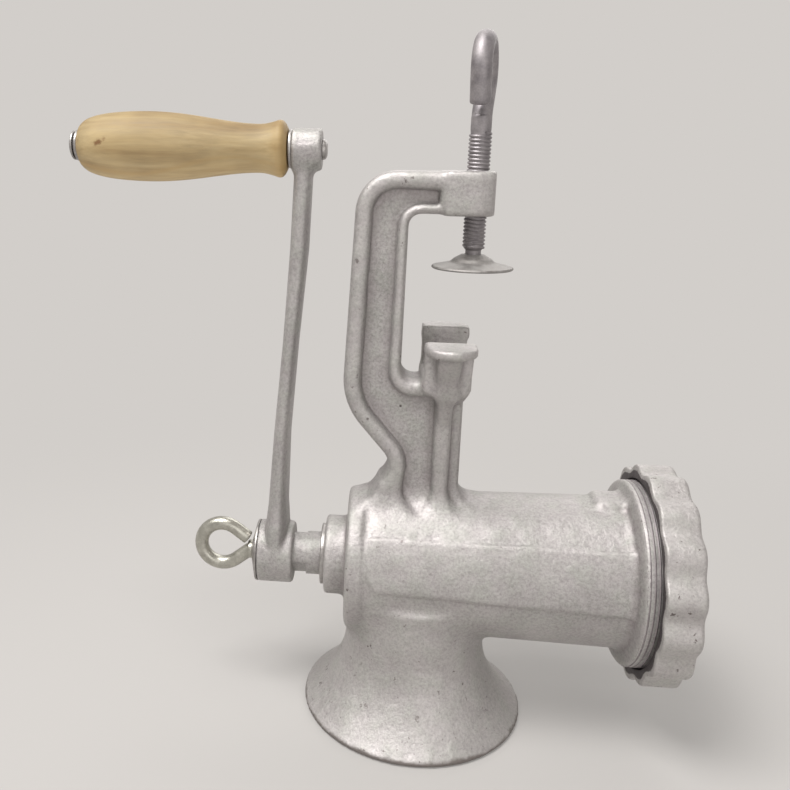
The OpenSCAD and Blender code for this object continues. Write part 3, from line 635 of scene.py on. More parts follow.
# Metals: name, darker and lighter stain, roughness, width of the turning lines
# in millimetres, the way they are counted, and how metallic the finish is
METALS = {
    # dull silver plating, which shows soft highlights
    "plated": ("dull_plated_steel", "#989492", "#C2BFBC", 0.42, 0.5, "X", 1.0),
    # sheet pressed to a dish, greyer and nearly matt
    "pad": ("pressed_plated_sheet", "#878380", "#A5A29F", 0.58, 0.8, "Z", 0.8),
    # drawn rod with a rolled thread, darkened in use
    "rod": ("drawn_thread_steel", "#868184", "#A6A1A2", 0.54, 0.6, "Z", 0.85),
    # bare cut iron, darker than the tin round it
    "cut_thread": ("cut_thread_iron", "#827B7D", "#9C9596", 0.6, 0.5, "X", 0.8),
    # bright zinc with a faint yellow cast
    "zinc": ("zinc_plated_wire", "#A3A198", "#C6C4BA", 0.36, 0.9, "X", 1.0),
    # ground face with fine lines
    "blade": ("ground_blade_steel", "#9C9997", "#C8C5C2", 0.36, 0.6, "Z", 1.0),
}
MATERIALS = {}


def finish_named(key):
    """A finish by its short name; the first call makes them all."""
    if not MATERIALS:
        finish = bpy.context.scene.grinder_finish
        MATERIALS["cast"] = sand_cast_tin(finish)
        for metal, values in METALS.items():
            MATERIALS[metal] = turned_steel(*values)
        MATERIALS["wood"] = turned_wood(finish)
        MATERIALS["fibre"] = pressed_fibre()
    return MATERIALS[key]


# ---- settings

class GrinderCasting(bpy.types.PropertyGroup):
    """Sizes of the casting"""
    step: FloatProperty(name="Skin step", description="Distance between points of the cast skin",
                        default=0.00125, unit="LENGTH", min=0.0008)
    barrel_fillet: FloatProperty(name="Barrel fillet", description="Fillet where the frame meets the barrel",
                                 default=0.009, unit="LENGTH")
    hopper_fillet: FloatProperty(name="Hopper fillet", description="Fillet where the hopper meets the barrel",
                                 default=0.006, unit="LENGTH")
    rim_round: FloatProperty(name="Rim rounding", description="Rounding of the clamp frame's rims",
                             default=0.0045, unit="LENGTH")
    panel_height: FloatProperty(name="Panel height", description="How far the side panels stand out",
                                default=0.0011, unit="LENGTH")


class GrinderMetalwork(bpy.types.PropertyGroup):
    """Sizes of the turned and bent pieces"""
    clamp_pitch: FloatProperty(name="Clamp thread pitch", description="Pitch of the clamp screw's thread",
                               default=0.0016, unit="LENGTH")
    ring_pitch: FloatProperty(name="Barrel thread pitch", description="Pitch of the barrel's thread",
                              default=0.002, unit="LENGTH")
    lobes: IntProperty(name="Lobes", description="Number of lobes round the ring nut", default=16)


class GrinderFinish(bpy.types.PropertyGroup):
    """Colours of the finishes, as sRGB hex"""
    casting_dark: StringProperty(name="Casting, dark", description="Darker cloud of the tinned casting",
                                 default="#A39F9D")
    casting_light: StringProperty(name="Casting, light", description="Lighter cloud of the tinned casting",
                                  default="#B9B5B3")
    wood_dark: StringProperty(name="Wood, dark", description="Darker grain of the grip", default="#826B49")
    wood_mid: StringProperty(name="Wood, middle", description="Middle tone of the grip", default="#95815D")
    wood_light: StringProperty(name="Wood, light", description="Lighter grain of the grip", default="#A6936F")
    backdrop: StringProperty(name="Backdrop", description="Colour of the floor and background",
                             default="#D2CECA")


class GrinderStage(bpy.types.PropertyGroup):
    """Camera and light"""
    camera_place: FloatVectorProperty(name="Camera place", description="Where the camera stands",
                                      default=(-0.02124, -0.37025, 0.25992), subtype="TRANSLATION", size=3)
    yaw: FloatProperty(name="Yaw", description="Camera's turn about the vertical",
                       default=radians(-5.05), subtype="ANGLE")
    pitch: FloatProperty(name="Pitch", description="How far the camera looks down",
                         default=radians(13.71), subtype="ANGLE")
    roll: FloatProperty(name="Roll", description="Camera's roll", default=radians(1.10), subtype="ANGLE")
    focal_px: FloatProperty(name="Focal length", description="Focal length in picture points", default=828.03)
    key_power: FloatProperty(name="Key light", description="Power of the large soft key light, in watts",
                             default=19.0)
    fill_power: FloatProperty(name="Fill light", description="Power of the soft fill light, in watts",
                              default=2.9)
    back_power: FloatProperty(name="Back light", description="Power of the soft light behind, in watts",
                              default=5.0)
    sky: FloatProperty(name="Surround", description="Strength of the even surrounding light", default=0.56)


# ---- the casting

BACK_X = -34.0  # rear wall of the barrel
THREAD_X = FRONT_X - 15.4  # where the collar steps down to the thread
BARREL_R = 35.0
BORE_R, SEAT_R = 29.5, 35.3  # the barrel's bore and the seat of the plate
MOUTH_R, NECK_R = 53.0, 33.2  # the hopper at its rim and where it meets the barrel
FRAME_HALF, WEB_HALF = 11.8, 6.9  # half the clamp frame's width and its web's
SLOT_HALF, SLOT_Z = 15.0, 169.2  # the slot that the jaw's two walls leave
LUG_Z = 185.4  # top of the near lug


def arc(centre, r, a0, a1, n=10):
    """Points along an arc, angles in degrees."""
    return [(centre[0] + r * cos(radians(a0 + (a1 - a0) * i / n)),
             centre[1] + r * sin(radians(a0 + (a1 - a0) * i / n))) for i in range(n + 1)]


def bell(r_mouth, r_neck, low, high, power=2.4, n=12):
    """Flare of the hopper as (radius, height)."""
    heights = (low + (high - low) * (i / n) ** 1.4 for i in range(n + 1))
    return [(r_neck + (r_mouth - r_neck) * (1 - (z - low) / (high - low)) ** power, z) for z in heights]


def frame_lines():
    """Outer outline of the clamp frame and outline of its recess, in X and Z."""
    bulge, bulge_r = (-5.0, 166.0), 33.0
    notch, notch_r = (-26.0, 125.0), 9.8
    dx, dz = notch[0] - bulge[0], notch[1] - bulge[1]
    # the back bends out in one arc and in again in another, which touch at this angle
    turn = 360 + degrees(atan2(dz, dx)) - degrees(acos((bulge_r + notch_r) / hypot(dx, dz)))
    outer = [(24.0, TOP_Z), *arc((-17.0, TOP_Z - 18), 18, 90, 180), *arc(bulge, bulge_r, 180, turn),
             *arc(notch, notch_r, turn - 180, -55), (-24.0, 107.5), (-25.0, 100.0), (24.0, 100.0),
             (18.0, 108.0), (16.6, 114.0), (16.5, 157.0), (19.3, 162.0), (19.3, 181.0), (-2.5, 181.0),
             (-2.5, 166.0),
             *arc((-6.3, 172.0), 6, 270, 180, 6), *arc((-6.6, TOP_Z - 23.2), 5.2, 180, 90, 6),
             (24.0, TOP_Z - 18)]
    recess = [(0.5, TOP_Z - 8), *arc((-17.0, TOP_Z - 18), 10.5, 90, 180), *arc(bulge, bulge_r - 8, 180, turn),
              *arc(notch, notch_r + 8, turn - 180, -16), (-9.6, 112.0), (-9.8, 96.0), (4.8, 96.0), (4.8, 158.5),
              *arc((-6.3, 170.0), 11.4, 270, 180, 8), *arc((-6.6, TOP_Z - 23.5), 10, 180, 90, 8),
              (0.5, TOP_Z - 13.5)]
    return outer, recess


def barrel_values(field, casting):
    """Distances of the barrel, its rear boss, the side panels and the hopper."""
    x, y, z = field.grids()
    # rounded rear bead, slight taper, and the steep collar
    barrel = [(0, BACK_X), (33.4, BACK_X), (33.4, BACK_X + 7), (32.0, BACK_X + 8.5), (32.8, BACK_X + 13),
              (BARREL_R, THREAD_X - 6), (35.8, THREAD_X - 3.2), (41.4, THREAD_X - 1.4), (43.0, THREAD_X - 0.6),
              (42.3, FRONT_X - 0.6), (41.6, FRONT_X), (0, FRONT_X)]
    body = field.turned(rounded(barrel, [0, 3.2, 2.0, 1.5, 3, 4, 1.6, 1.2, 0.5, 0, 0, 0]), SHAFT_LINE)
    boss = rounded([(0, -44.5), (18.7, -44.5), (18.7, -20), (0, -20)], [0, 1.4, 0, 0])
    body = blend_union(body, field.turned(boss, SHAFT_LINE), 2.2)
    # panels: a shallow step on both sides between two angles, dished a little
    height = casting.panel_height * 1000
    angle = np.degrees(np.arctan2(z - AXIS_Z, np.abs(y) + 1e-6))
    high_edge = 40.3 - 0.012 * (x + 24)
    low_edge = -2.5 - 0.05 * (x + 24) + np.maximum(0, -20.5 - x) * 3.2
    panel = np.maximum(np.maximum(angle - high_edge, low_edge - angle) * radians(BARREL_R),
                       np.maximum(-25.5 - x, x - (THREAD_X - 3.6)))
    middle = (high_edge + low_edge) / 2
    flat = height * (0.35 + 0.65 * np.clip((angle - middle) / 22, -1, 1) ** 2)
    body = blend_union(body, blend_common(panel, body - flat, 0.7), 0.6)
    hopper = [(0, 0), (MOUTH_R - 1, 0.0), (MOUTH_R, 0.9), *bell(MOUTH_R, NECK_R, 2.2, 40),
              (NECK_R, 62), (0, 62)]
    return blend_union(body, field.turned(hopper, HOPPER_LINE), casting.hopper_fillet * 1000)


def clamp_frame_values(field, casting):
    """Distances of the C-shaped frame: web, rims, rib and the screw's boss."""
    x, y, z = field.grids()
    outer, recess = frame_lines()
    shape = blend_common(field.across(outer, "Y"), np.abs(y) - FRAME_HALF, casting.rim_round * 1000)
    shape = blend_cut(shape, np.maximum(field.across(recess, "Y"), WEB_HALF - np.abs(y)), 4.2)
    # the strip of web between the rib and the post's front edge
    strip = field.across([(10.8, 96), (40, 96), (40, 156), (10.8, 156)], "Y")
    shape = blend_cut(shape, np.maximum(strip, WEB_HALF - 0.4 - np.abs(y)), 2.4)
    shape = blend_union(shape, field.block((4.6, -11.2, 100), (10.0, 11.2, 168), 2.4), 2.2)
    # boss for the clamp screw: square, with a rounded nose
    tip_x, nose_r, half, back, deep = 24.4, 15, 12.6, 3.6, 18.2
    nose = np.hypot(x - (tip_x - nose_r), y) - nose_r
    boss = blend_common(np.maximum(nose + 0 * z, np.abs(y) - half + 0 * x),
                        np.maximum(back - x, np.maximum(z - TOP_Z + 0.4, TOP_Z - deep - z)), 1.6)
    return blend_union(shape, boss, 2.4)


def jaw_values(field):
    """Distances of the jaw: two walls on a shelf, their fins and the lugs."""
    x, y, z = field.grids()
    wall = [(-2.5, 164), (9, 161.5), (16.6, 162.5), (18.2, 171), (19.0, 184), (-2.5, 184)]
    wall_y, wall_half = 17.4, 2.4
    jaw = blend_common(field.across(wall, "Y"), np.abs(np.abs(y) - wall_y) - wall_half, 1.2)
    jaw = blend_union(jaw, field.block((-2.5, -18.6, 161.5), (17.6, 18.6, 169.4), 3.2), 3.6)
    fin = [(6, 100), (11.0, 128), (12.5, 146), (19, 158), (26, 171), (32.5, 181), (10, 181), (2, 160)]
    broad = 2.9 + np.clip((z - 150) / 30, 0, 1) * 2.4
    fins = [blend_common(field.across([(side * across, up) for across, up in fin], "X"),
                         np.abs(x - 7.6) - broad, 2.6) for side in (1, -1)]
    jaw = blend_union(jaw, np.minimum(*fins), 5.0)
    # round-ended lugs 4 mm thick; the far one stands a little higher
    lug_x, lug_r, lug_out, lug_in = 8.4, 10.9, 24.8, 13
    disc = np.hypot(x - lug_x, np.maximum(np.abs(y) - lug_out, 0)) - lug_r
    lug_top = LUG_Z + 1.4 * np.clip((35 - y) / 20, 0, 1) * (y > 0)
    lug = blend_common(disc + 0 * z, np.maximum(np.maximum(z - lug_top, LUG_Z - 4 - z),
                                                lug_in - np.abs(y)), 0.8)
    jaw = blend_union(jaw, lug, 1.6)
    return blend_cut(jaw, field.block((-30, -SLOT_HALF, SLOT_Z), (40, SLOT_HALF, 200), 0.6), 0.3)


def casting_values(field, casting):
    """Distances of the whole casting with its hollows."""
    x, y, z = field.grids()
    body = barrel_values(field, casting)
    slot = field.block((-2.6, -SLOT_HALF, SLOT_Z), (40, SLOT_HALF, 200), 0.6)
    clamp = blend_cut(clamp_frame_values(field, casting), slot, 0.3)
    clamp = blend_union(clamp, jaw_values(field), 2.4)
    body = blend_union(body, clamp, casting.barrel_fillet * 1000)
    # pad on top of the collar
    pad = field.block((THREAD_X - 16, -8.5, AXIS_Z), (THREAD_X - 1.0, 8.5, AXIS_Z + 37.2), 2.2)
    body = blend_union(body, pad, 4.0)
    # hopper's inside, bore with the plate's seat, hole for the shaft, hole for the screw
    inner = [(0, -5), (50.2, -5), (50.2, 0.4), *bell(50.0, 30.0, 0.5, 39), (30, 70), (0, 70)]
    body = blend_cut(body, field.turned(inner, HOPPER_LINE), 1.3)
    seat_x = span("grinding_plate")[0]
    bore = [(0, BACK_X + 7), (BORE_R, BACK_X + 7), (BORE_R, seat_x), (SEAT_R, seat_x), (SEAT_R, FRONT_X + 5),
            (0, FRONT_X + 5)]
    body = blend_cut(body, field.turned(bore, SHAFT_LINE), 0.8)
    shaft_r, screw_r = 12.6, 5.2
    body = blend_cut(body, field.turned([(0, -60), (shaft_r, -60), (shaft_r, 0), (0, 0)], SHAFT_LINE), 0.6)
    hole = np.hypot(x - SCREW_X, y) - screw_r + 0 * z
    return blend_cut(body, np.maximum(hole, TOP_Z - 30 - z), 0.8)


class GRINDER_OT_casting(bpy.types.Operator):
    """Hopper, barrel, clamp frame and jaw as one soft-edged casting"""
    bl_idname = "grinder.casting"
    bl_label = "Casting"

    def execute(self, context):
        casting = context.scene.grinder_casting
        step = casting.step * 1000 * 1
        field = Field((-54.6, -54.6, -1.6), (FRONT_X + 1.4, 54.6, TOP_Z + 1.4), step)
        add_skin("casting", field, casting_values(field, casting))
        return {"FINISHED"}


# ---- threads

def thread_tree():
    """Geometry Nodes: a ridge wound round the Z axis as a screw thread."""
    tree = bpy.data.node_groups.new("screw_thread_ridge", "GeometryNodeTree")
    for name, default in (("Radius", 0.005), ("Pitch", 0.0015), ("Length", 0.03), ("Ridge", 0.0006)):
        tree.interface.new_socket(name, in_out="INPUT", socket_type="NodeSocketFloat").default_value = default
    tree.interface.new_socket("Finish", in_out="INPUT", socket_type="NodeSocketMaterial")
    tree.interface.new_socket("Geometry", in_out="OUTPUT", socket_type="NodeSocketGeometry")
    put = partial(add, tree)
    given = put("NodeGroupInput", out=None)
    turns = put(MATH, (given["Length"], given["Pitch"]), operation="DIVIDE")
    spiral = put("GeometryNodeCurveSpiral", {"Resolution": 72, "Rotations": turns, "Height": given["Length"],
                                             "Start Radius": given["Radius"], "End Radius": given["Radius"]})
    upright = put("GeometryNodeSetCurveNormal", {"Curve": spiral}, mode="Z_UP")
    ridge = put("GeometryNodeCurvePrimitiveCircle", {"Resolution": 6, "Radius": given["Ridge"]}, mode="RADIUS")
    swept = put("GeometryNodeCurveToMesh", {"Curve": upright, "Profile Curve": ridge, "Fill Caps": True})
    real = put("GeometryNodeRealizeInstances", {"Geometry": swept})
    coated = put("GeometryNodeSetMaterial", {"Geometry": real, "Material": given["Finish"]})
    put("NodeGroupOutput", {"Geometry": coated}, out=None)
    return tree


def thread_ridge(radius, pitch, length, ridge, material):
    """Points and faces of a ridge wound along Z from 0, in millimetres."""
    holder = bpy.data.objects.new("ridge", bpy.data.meshes.new("ridge"))
    bpy.context.scene.collection.objects.link(holder)
    modifier = holder.modifiers.new("thread", "NODES")
    modifier.node_group = bpy.data.node_groups.get("screw_thread_ridge") or thread_tree()
    given = {"Radius": radius * 0.001, "Pitch": pitch * 0.001, "Length": length * 0.001, "Ridge": ridge * 0.001,
             "Finish": material}
    for item in modifier.node_group.interface.items_tree:
        if item.in_out == "INPUT":
            modifier[item.identifier] = given[item.name]
    mesh = bpy.data.meshes.new_from_object(holder.evaluated_get(bpy.context.evaluated_depsgraph_get()))
    verts = np.empty(len(mesh.vertices) * 3, np.float32)
    mesh.vertices.foreach_get("co", verts)
    faces = [tuple(polygon.vertices) for polygon in mesh.polygons]
    bpy.data.objects.remove(holder)
    bpy.data.meshes.remove(mesh)
    return verts.reshape(-1, 3).astype(float) * 1000, faces


class GRINDER_OT_barrel_thread(bpy.types.Operator):
    """Thread cut on the barrel's front end"""
    bl_idname = "grinder.barrel_thread"
    bl_label = "Barrel thread"

    def execute(self, context):
        low, root_r = FRONT_X - 15.8, 42.6
        core = turned([(36.0, low - 0.4), (root_r, low - 0.4), (root_r, FRONT_X), (36.0, FRONT_X)],
                      [0, 0.4, 0.8, 0.4], SHAFT_LINE, 160, 3)
        pitch = context.scene.grinder_metalwork.ring_pitch * 1000
        wound, faces = thread_ridge(root_r, pitch, FRONT_X - low - 1.6, 0.5, finish_named("cut_thread"))
        # the ridge is wound along Z and then laid along X
        wound = np.stack([wound[:, 2] + low + 0.3, wound[:, 1], AXIS_Z - wound[:, 0]], 1)
        add_piece("barrel_thread", *joined(core, (wound, faces)), sharp=50)
        return {"FINISHED"}


# ---- front end

class GRINDER_OT_front_end(bpy.types.Operator):
    """Lobed ring nut on the barrel, and finishes for what it holds"""
    bl_idname = "grinder.front_end"
    bl_label = "Ring nut and plate"

    def execute(self, context):
        lobes = context.scene.grinder_metalwork.lobes
        back, front = span("ring_nut")
        left, right = span("ring_nut", "Y")
        crest = (right - left) / 2
        open_r, bore_r, body_r = 29.0, 43.75, 45.5
        plate_x = span("grinding_plate")[1] + 0.05
        outline = rounded([(open_r, front), (crest, front), (crest, back), (bore_r, back),
                           (bore_r, plate_x), (open_r, plate_x)], [1.2, 2.6, 1.3, 0.9, 0.4, 0.6], 6)
        share = 2 * pi / lobes

        def wave(angle, r, _):
            """Dips 2.6 mm deep between the lobes, which fade out towards the bore."""
            if r < body_r:
                return r
            off = (angle + radians(2) + share / 2) % share - share / 2
            dip = 2.6 * (0.5 + 0.5 * cos(off * lobes)) ** 1.2
            return r - dip * min(1.0, (r - body_r) / 3.0)

        verts, faces = revolve(outline, SHAFT_LINE, 384, wave)
        nut = add_piece("lobed_ring", verts, faces, 50)
        # knocked outer edges, and painted shade on the face next to the thread, in the gap where ring and
        # thread meet
        x, r = verts[:, 0], np.hypot(verts[:, 1], verts[:, 2] - AXIS_Z)
        rims = (x < back + 1.4) | (x > front - 2.7)
        mark(nut, "edge_wear", np.where(rims & (r > body_r + 0.7), 0.95, 0.0))
        mark(nut, "grease", (x < back + 1.2) & (r < body_r + 0.3))
        for name, key in KEPT_NODES.items():
            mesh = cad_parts[name].data
            mesh.materials.clear()
            mesh.materials.append(finish_named(key))
        return {"FINISHED"}


# ---- worm and shaft

class GRINDER_OT_worm(bpy.types.Operator):
    """Worm with its rounded flight, shaft journal and drive flats, and the bush"""
    bl_idname = "grinder.worm"
    bl_label = "Worm and shaft"

    def execute(self, context):
        rear = span("auger")[0]
        start, stop = span("thrust_washer")[1] + 0.05, span("knife")[0] - 0.3
        worm = joined(self.shaft(rear, start), self.flight(start, stop), self.square(stop))
        add_piece("worm_and_shaft", *worm)
        low, high = span("rear_bush")
        bush = turned([(10.27, low), (14.5, low), (14.5, low + 2), (13.0, low + 2), (13.0, high),
                       (10.27, high)], [0.7, 0.6, 0.2, 0, 0.4, 0.3], SHAFT_LINE, 96, 3)
        add_piece("turned_bush", *bush)
        return {"FINISHED"}

    def flight(self, start, stop):
        """Core of the worm with one rounded flight of 30 mm pitch on it"""
        rings, sides = 150, 72
        core_r, rise, lead, thick = 13.5, 15.0, 30.0, 0.62
        verts = []
        for x in (start + 3 + (stop - start - 3) * i / rings for i in range(rings + 1)):
            for angle in (2 * pi * k / sides for k in range(sides)):
                turn = (angle + 2 * pi * (x - start) / lead + pi) % (2 * pi) - pi
                verts.append(spot(core_r + rise * np.exp(-(abs(turn) / thick) ** 4), x, angle, SHAFT_LINE))
        faces = wrapped(rings + 1, sides)
        faces += [tuple(range(sides))[::-1], tuple(rings * sides + k for k in range(sides))]
        return verts, [f[::-1] for f in faces]

    def shaft(self, rear, start):
        """Journal with two flats at its rear, and the collar behind the flight"""
        flats_x, flat_d, journal_r = -53.5, 7.6, 10.2
        corners = rounded([(0, rear), (journal_r, rear), (journal_r, start + 0.2), (19.5, start + 0.2),
                           (19.5, start + 3.4), (0, start + 3.4)], [0, 0.6, 0.3, 0.5, 0.8, 0], 3)
        line = []
        for (r0, x0), (_, x1) in zip(corners, corners[1:] + corners[:1]):
            line.append((r0, x0))
            if abs(x1 - x0) > 6:
                line += [(r0, x) for x in (flats_x - 0.1, flats_x + 0.1, -50, -40)
                         if min(x0, x1) < x < max(x0, x1)]

        def flats(angle, r, x):
            """The two flats, turned by 45 degrees from the level"""
            reach = abs(cos(angle - radians(45)))
            return r if x > flats_x or r < 5 or reach <= 0.2 else min(r, flat_d / reach)

        return revolve(line, SHAFT_LINE, 96, flats)

    def square(self, stop):
        """The square that carries the knife"""
        half = 6.5
        corners = [(stop + dx, dy, AXIS_Z + dz)
                   for dx in (-0.5, 7.5) for dy in (-half, half) for dz in (-half, half)]
        return corners, [(0, 1, 3, 2), (4, 6, 7, 5), (0, 4, 5, 1), (2, 3, 7, 6), (0, 2, 6, 4), (1, 5, 7, 3)]


# ---- crank

# The arm at rising heights: its left and right edges in X, and half its width in Y
ARM = ((75, -73.6, -62.4, 14.2), (91, -73.4, -62.6, 13.7), (101.4, -72.2, -63.2, 12.1),
       (137, -69.9, -62.4, 10.2), (180.5, -66.3, -59.2, 9.0), (222, -63.7, -55.4, 7.8),
       (254.6, -62.4, -54.1, 7.0), (268, -61.6, -53.4, 6.4))


def crank_values(field):
    """Distances of the crank: hub, oval arm and the boss for the handle."""
    x, y, z = field.grids()
    back, front = span("crank_arm")
    hub_r, hub_front = span("crank_arm", "Y")[1], back + 17.0
    hub = field.turned(rounded([(0, back), (hub_r, back), (hub_r, hub_front), (0, hub_front)],
                               [0, 1.0, 1.6, 0]), SHAFT_LINE)
    tip = field.turned(rounded([(0, front - 13), (8.9, front - 13), (8.9, front), (0, front)],
                               [0, 1.2, 1.4, 0]), HANDLE_LINE)
    heights, *edges = zip(*ARM)
    left, right, wide = (np.interp(field.z.astype(float), heights, edge) for edge in edges)
    middle, half = ((left + right) / 2)[None, None, :], ((right - left) / 2)[None, None, :]
    wide = wide[None, None, :]
    oval = ((np.abs(x - middle) / half) ** 2.6 + (np.abs(y) / wide) ** 2.6) ** (1 / 2.6)
    arm = np.maximum((oval - 1) * np.minimum(half, wide) * 0.9, np.maximum(AXIS_Z + 3 - z, z - HANDLE_Z))
    return blend_union(blend_union(hub, arm, 0.9), tip, 3.4)


class GRINDER_OT_crank(bpy.types.Operator):
    """Crank arm with its hub and top boss, the cup washer and the eye screw"""
    bl_idname = "grinder.crank"
    bl_label = "Crank"

    def execute(self, context):
        (x0, x1), (z0, z1) = span("crank_arm"), span("crank_arm", "Z")
        field = Field((x0 - 1.2, -16.2, z0 - 1.2), (x1 + 1.2, 16.2, z1 + 1.2), 0.72)
        add_skin("crank", field, crank_values(field))
        back, rim = span("crank_cup_washer")
        add_piece("cone_washer", *turned(
            [(4.1, back), (5.6, back), (14.6, rim - 1.0), (14.8, rim), (11.6, rim), (4.1, back + 2.2)],
            [0.2, 1.6, 0.4, 0.2, 1.2, 0.3], SHAFT_LINE))
        add_piece("wire_eye", *self.eye(back - 0.05))
        return {"FINISHED"}

    def eye(self, foot):
        """Wire bent to a drop-shaped eye, with its free end cut square"""
        r, wire, screw_r = 10.45, 3.3, 4.0
        tilt, reach, neck = radians(9), 15.25, 14.25
        outward = np.array([-cos(tilt), sin(tilt)])
        down = np.array([-sin(tilt), -cos(tilt)])
        centre = np.array([foot, AXIS_Z]) + reach * outward
        first, last = -asin(r / neck), pi + radians(28)
        angles = (first + (last - first) * i / 60 for i in range(61))
        bend = [centre + r * (cos(a) * down + sin(a) * outward) for a in angles]
        bend = [centre - neck * outward, *bend, bend[-1] + 8.2 * (cos(last) * outward - sin(last) * down)]
        path = [(foot + 16.5, 0.0, AXIS_Z), (foot + 1, 0.0, AXIS_Z)] + [(p[0], 0.0, p[1]) for p in bend]
        path = eased_path(path, 1.4, 2)
        width = np.where(path[:, 0] > foot + 0.5, screw_r, wire)
        width = np.convolve(np.pad(width, 2, mode="edge"), np.ones(5) / 5, mode="valid")
        collar = turned([(0, foot - 2.4), (4.4, foot - 2.4), (4.4, foot), (0, foot)], [0, 0.8, 0.3, 0],
                        SHAFT_LINE, 48, 3)
        return joined(tube(path, width, 28, 0.6), collar)


# ---- handle

# The grip's profile: millimetres along it from its free end, and its radius
GRIP_LINE = ((0.0, 7.6), (1.2, 9.6), (4.0, 11.6), (9.0, 13.2), (16.0, 14.3), (25.0, 14.9), (34.0, 15.0),
             (43.0, 14.5), (52.0, 13.5), (61.0, 12.2), (70.0, 11.0), (77.0, 10.45), (82.0, 10.5),
             (86.2, 11.4), (88.6, 12.15), (90.2, 12.0), (91.4, 10.9), (92.5, 8.8))


class GRINDER_OT_handle(bpy.types.Operator):
    """Turned wooden grip on its riveted spindle, with a washer at each end"""
    bl_idname = "grinder.handle"
    bl_label = "Handle"

    def execute(self, context):
        start, stop = span("handle_grip")
        belly, hole_r = span("handle_grip", "Y")[1], 3.58
        fine = smooth_path([(r * belly / 15.0, t * (stop - start) / 92.5) for t, r in GRIP_LINE], 110)
        outline = [(hole_r, start)] + [(float(r), start + float(t)) for r, t in fine] + [(hole_r, stop)]
        outline = [(r, min(max(x, start), stop)) for r, x in outline]
        add_piece("turned_grip", *revolve(outline, HANDLE_LINE), sharp=60)
        head, tip = span("handle_spindle")
        under = span("handle_outer_washer")[0]
        add_piece("riveted_spindle", *turned(
            [(0, head), (4.8, head), (6.3, head + 0.8), (6.3, under - 0.8), (4.4, under - 0.5), (4.4, under),
             (3.5, under), (3.5, tip - 2.2), (4.4, tip - 2.2), (4.1, tip - 0.7), (2.6, tip), (0, tip)],
            [0, 1.4, 0.5, 0.4, 0.1, 0.1, 0.1, 0.1, 0.3, 0.8, 1.2, 0], HANDLE_LINE, 64))
        for name, r in (("outer_washer", 6.7), ("inner_washer", 8.2)):
            a, b = span("handle_" + name)
            add_piece(name, *turned([(3.5, a), (r, a), (r, b), (3.5, b)], [0.1, 0.45, 0.45, 0.1],
                                    HANDLE_LINE, 72, 3))
        return {"FINISHED"}


# ---- clamp screw

class GRINDER_OT_clamp(bpy.types.Operator):
    """Clamp screw with its bent eye, and the dished pad on its end"""
    bl_idname = "grinder.clamp"
    bl_label = "Clamp screw and pad"

    def execute(self, context):
        pitch = context.scene.grinder_metalwork.clamp_pitch * 1000
        low, high = span("clamp_screw", "Z")
        under, top = span("clamp_pad", "Z")
        start, stop, core_top = top + 2.6, high - 41.5, high - 33.6
        core = turned([(0, low), (4.7, low), (4.7, low + 0.9), (3.4, low + 1.3), (3.4, start - 0.8),
                       (4.25, start + 0.2), (4.25, stop), (4.4, stop + 1.5), (4.4, core_top), (0, core_top)],
                      [0, 0.3, 0.3, 0.4, 0.6, 0.3, 0.2, 0.3, 1.6, 0], SCREW_LINE, 64, 3)
        wound, faces = thread_ridge(4.3, pitch, stop - start - 0.4, 0.62, finish_named("rod"))
        wound = wound + np.array([SCREW_X, 0, start + 0.4])
        add_piece("clamp_screw_rod", *joined(core, (wound, faces), self.eye(high)), sharp=50)
        left, right = span("clamp_pad")
        r = (right - left) / 2
        add_piece("dished_pad", *turned(
            [(0, under + 1.0), (8, under + 0.8), (r - 2.5, under), (r - 0.5, under), (r, under + 0.5),
             (r - 0.4, under + 1.2), (r * 0.55, under + 2.9), (8.2, under + 4.5), (4.9, top), (3.46, top),
             (3.46, under + 2.8), (5.2, under + 2.8), (5.2, under + 1.3), (0, under + 1.3)],
            [0, 3, 1, 0.2, 0.3, 0.4, 6, 3, 0.6, 0.2, 0, 0, 0, 0], SCREW_LINE))
        return {"FINISHED"}

    def eye(self, high):
        """The screw's end bent round to a finger loop, a little out of square"""
        wire, r, neck, turn = 4.35, 11.0, 18.6, radians(-13)
        centre = high - 4.4 - r
        first, last = -asin(r / neck), pi + radians(14)
        flat = [(0.0, centre - neck - 3.0), (0.0, centre - neck + 0.4)]
        for angle in (first + (last - first) * i / 59 for i in range(60)):
            flat.append((r * cos(angle), centre + r * sin(angle)))
        end = np.array(flat[-1])
        along = end - np.array(flat[-2])
        along /= np.linalg.norm(along)
        flat += [tuple(end + along * s) for s in (4.0, 8.0, 12.4)]
        path = [(SCREW_X - u * sin(turn), u * cos(turn), v) for u, v in eased_path(flat, 1.5, 4)]
        return tube(path, wire, 32, 1.0)


# ---- stage

PICTURE_PX = 790  # width and height of the picture
LENS_PX = (309.95, 364.67)  # where the lens points in it
SENSOR_MM = 36.0
# Each lamp: its place, the height it points at above the origin, and its width
LAMPS = {"key": ((-0.42, -0.34, 1.28), 0.10, 0.6), "fill": ((0.35, -1.1, 0.28), 0.12, 0.8),
         "back": ((0.25, 0.95, 0.85), 0.12, 0.9)}


def backdrop_rays(put):
    """1 for the rays that see the backdrop itself: from the camera, and off or through the object."""
    ray = put("ShaderNodeLightPath", out=None)
    bent = put(MATH, (ray["Is Glossy Ray"], ray["Is Transmission Ray"]), operation="MAXIMUM")
    return put(MATH, (ray["Is Camera Ray"], bent), operation="MAXIMUM")


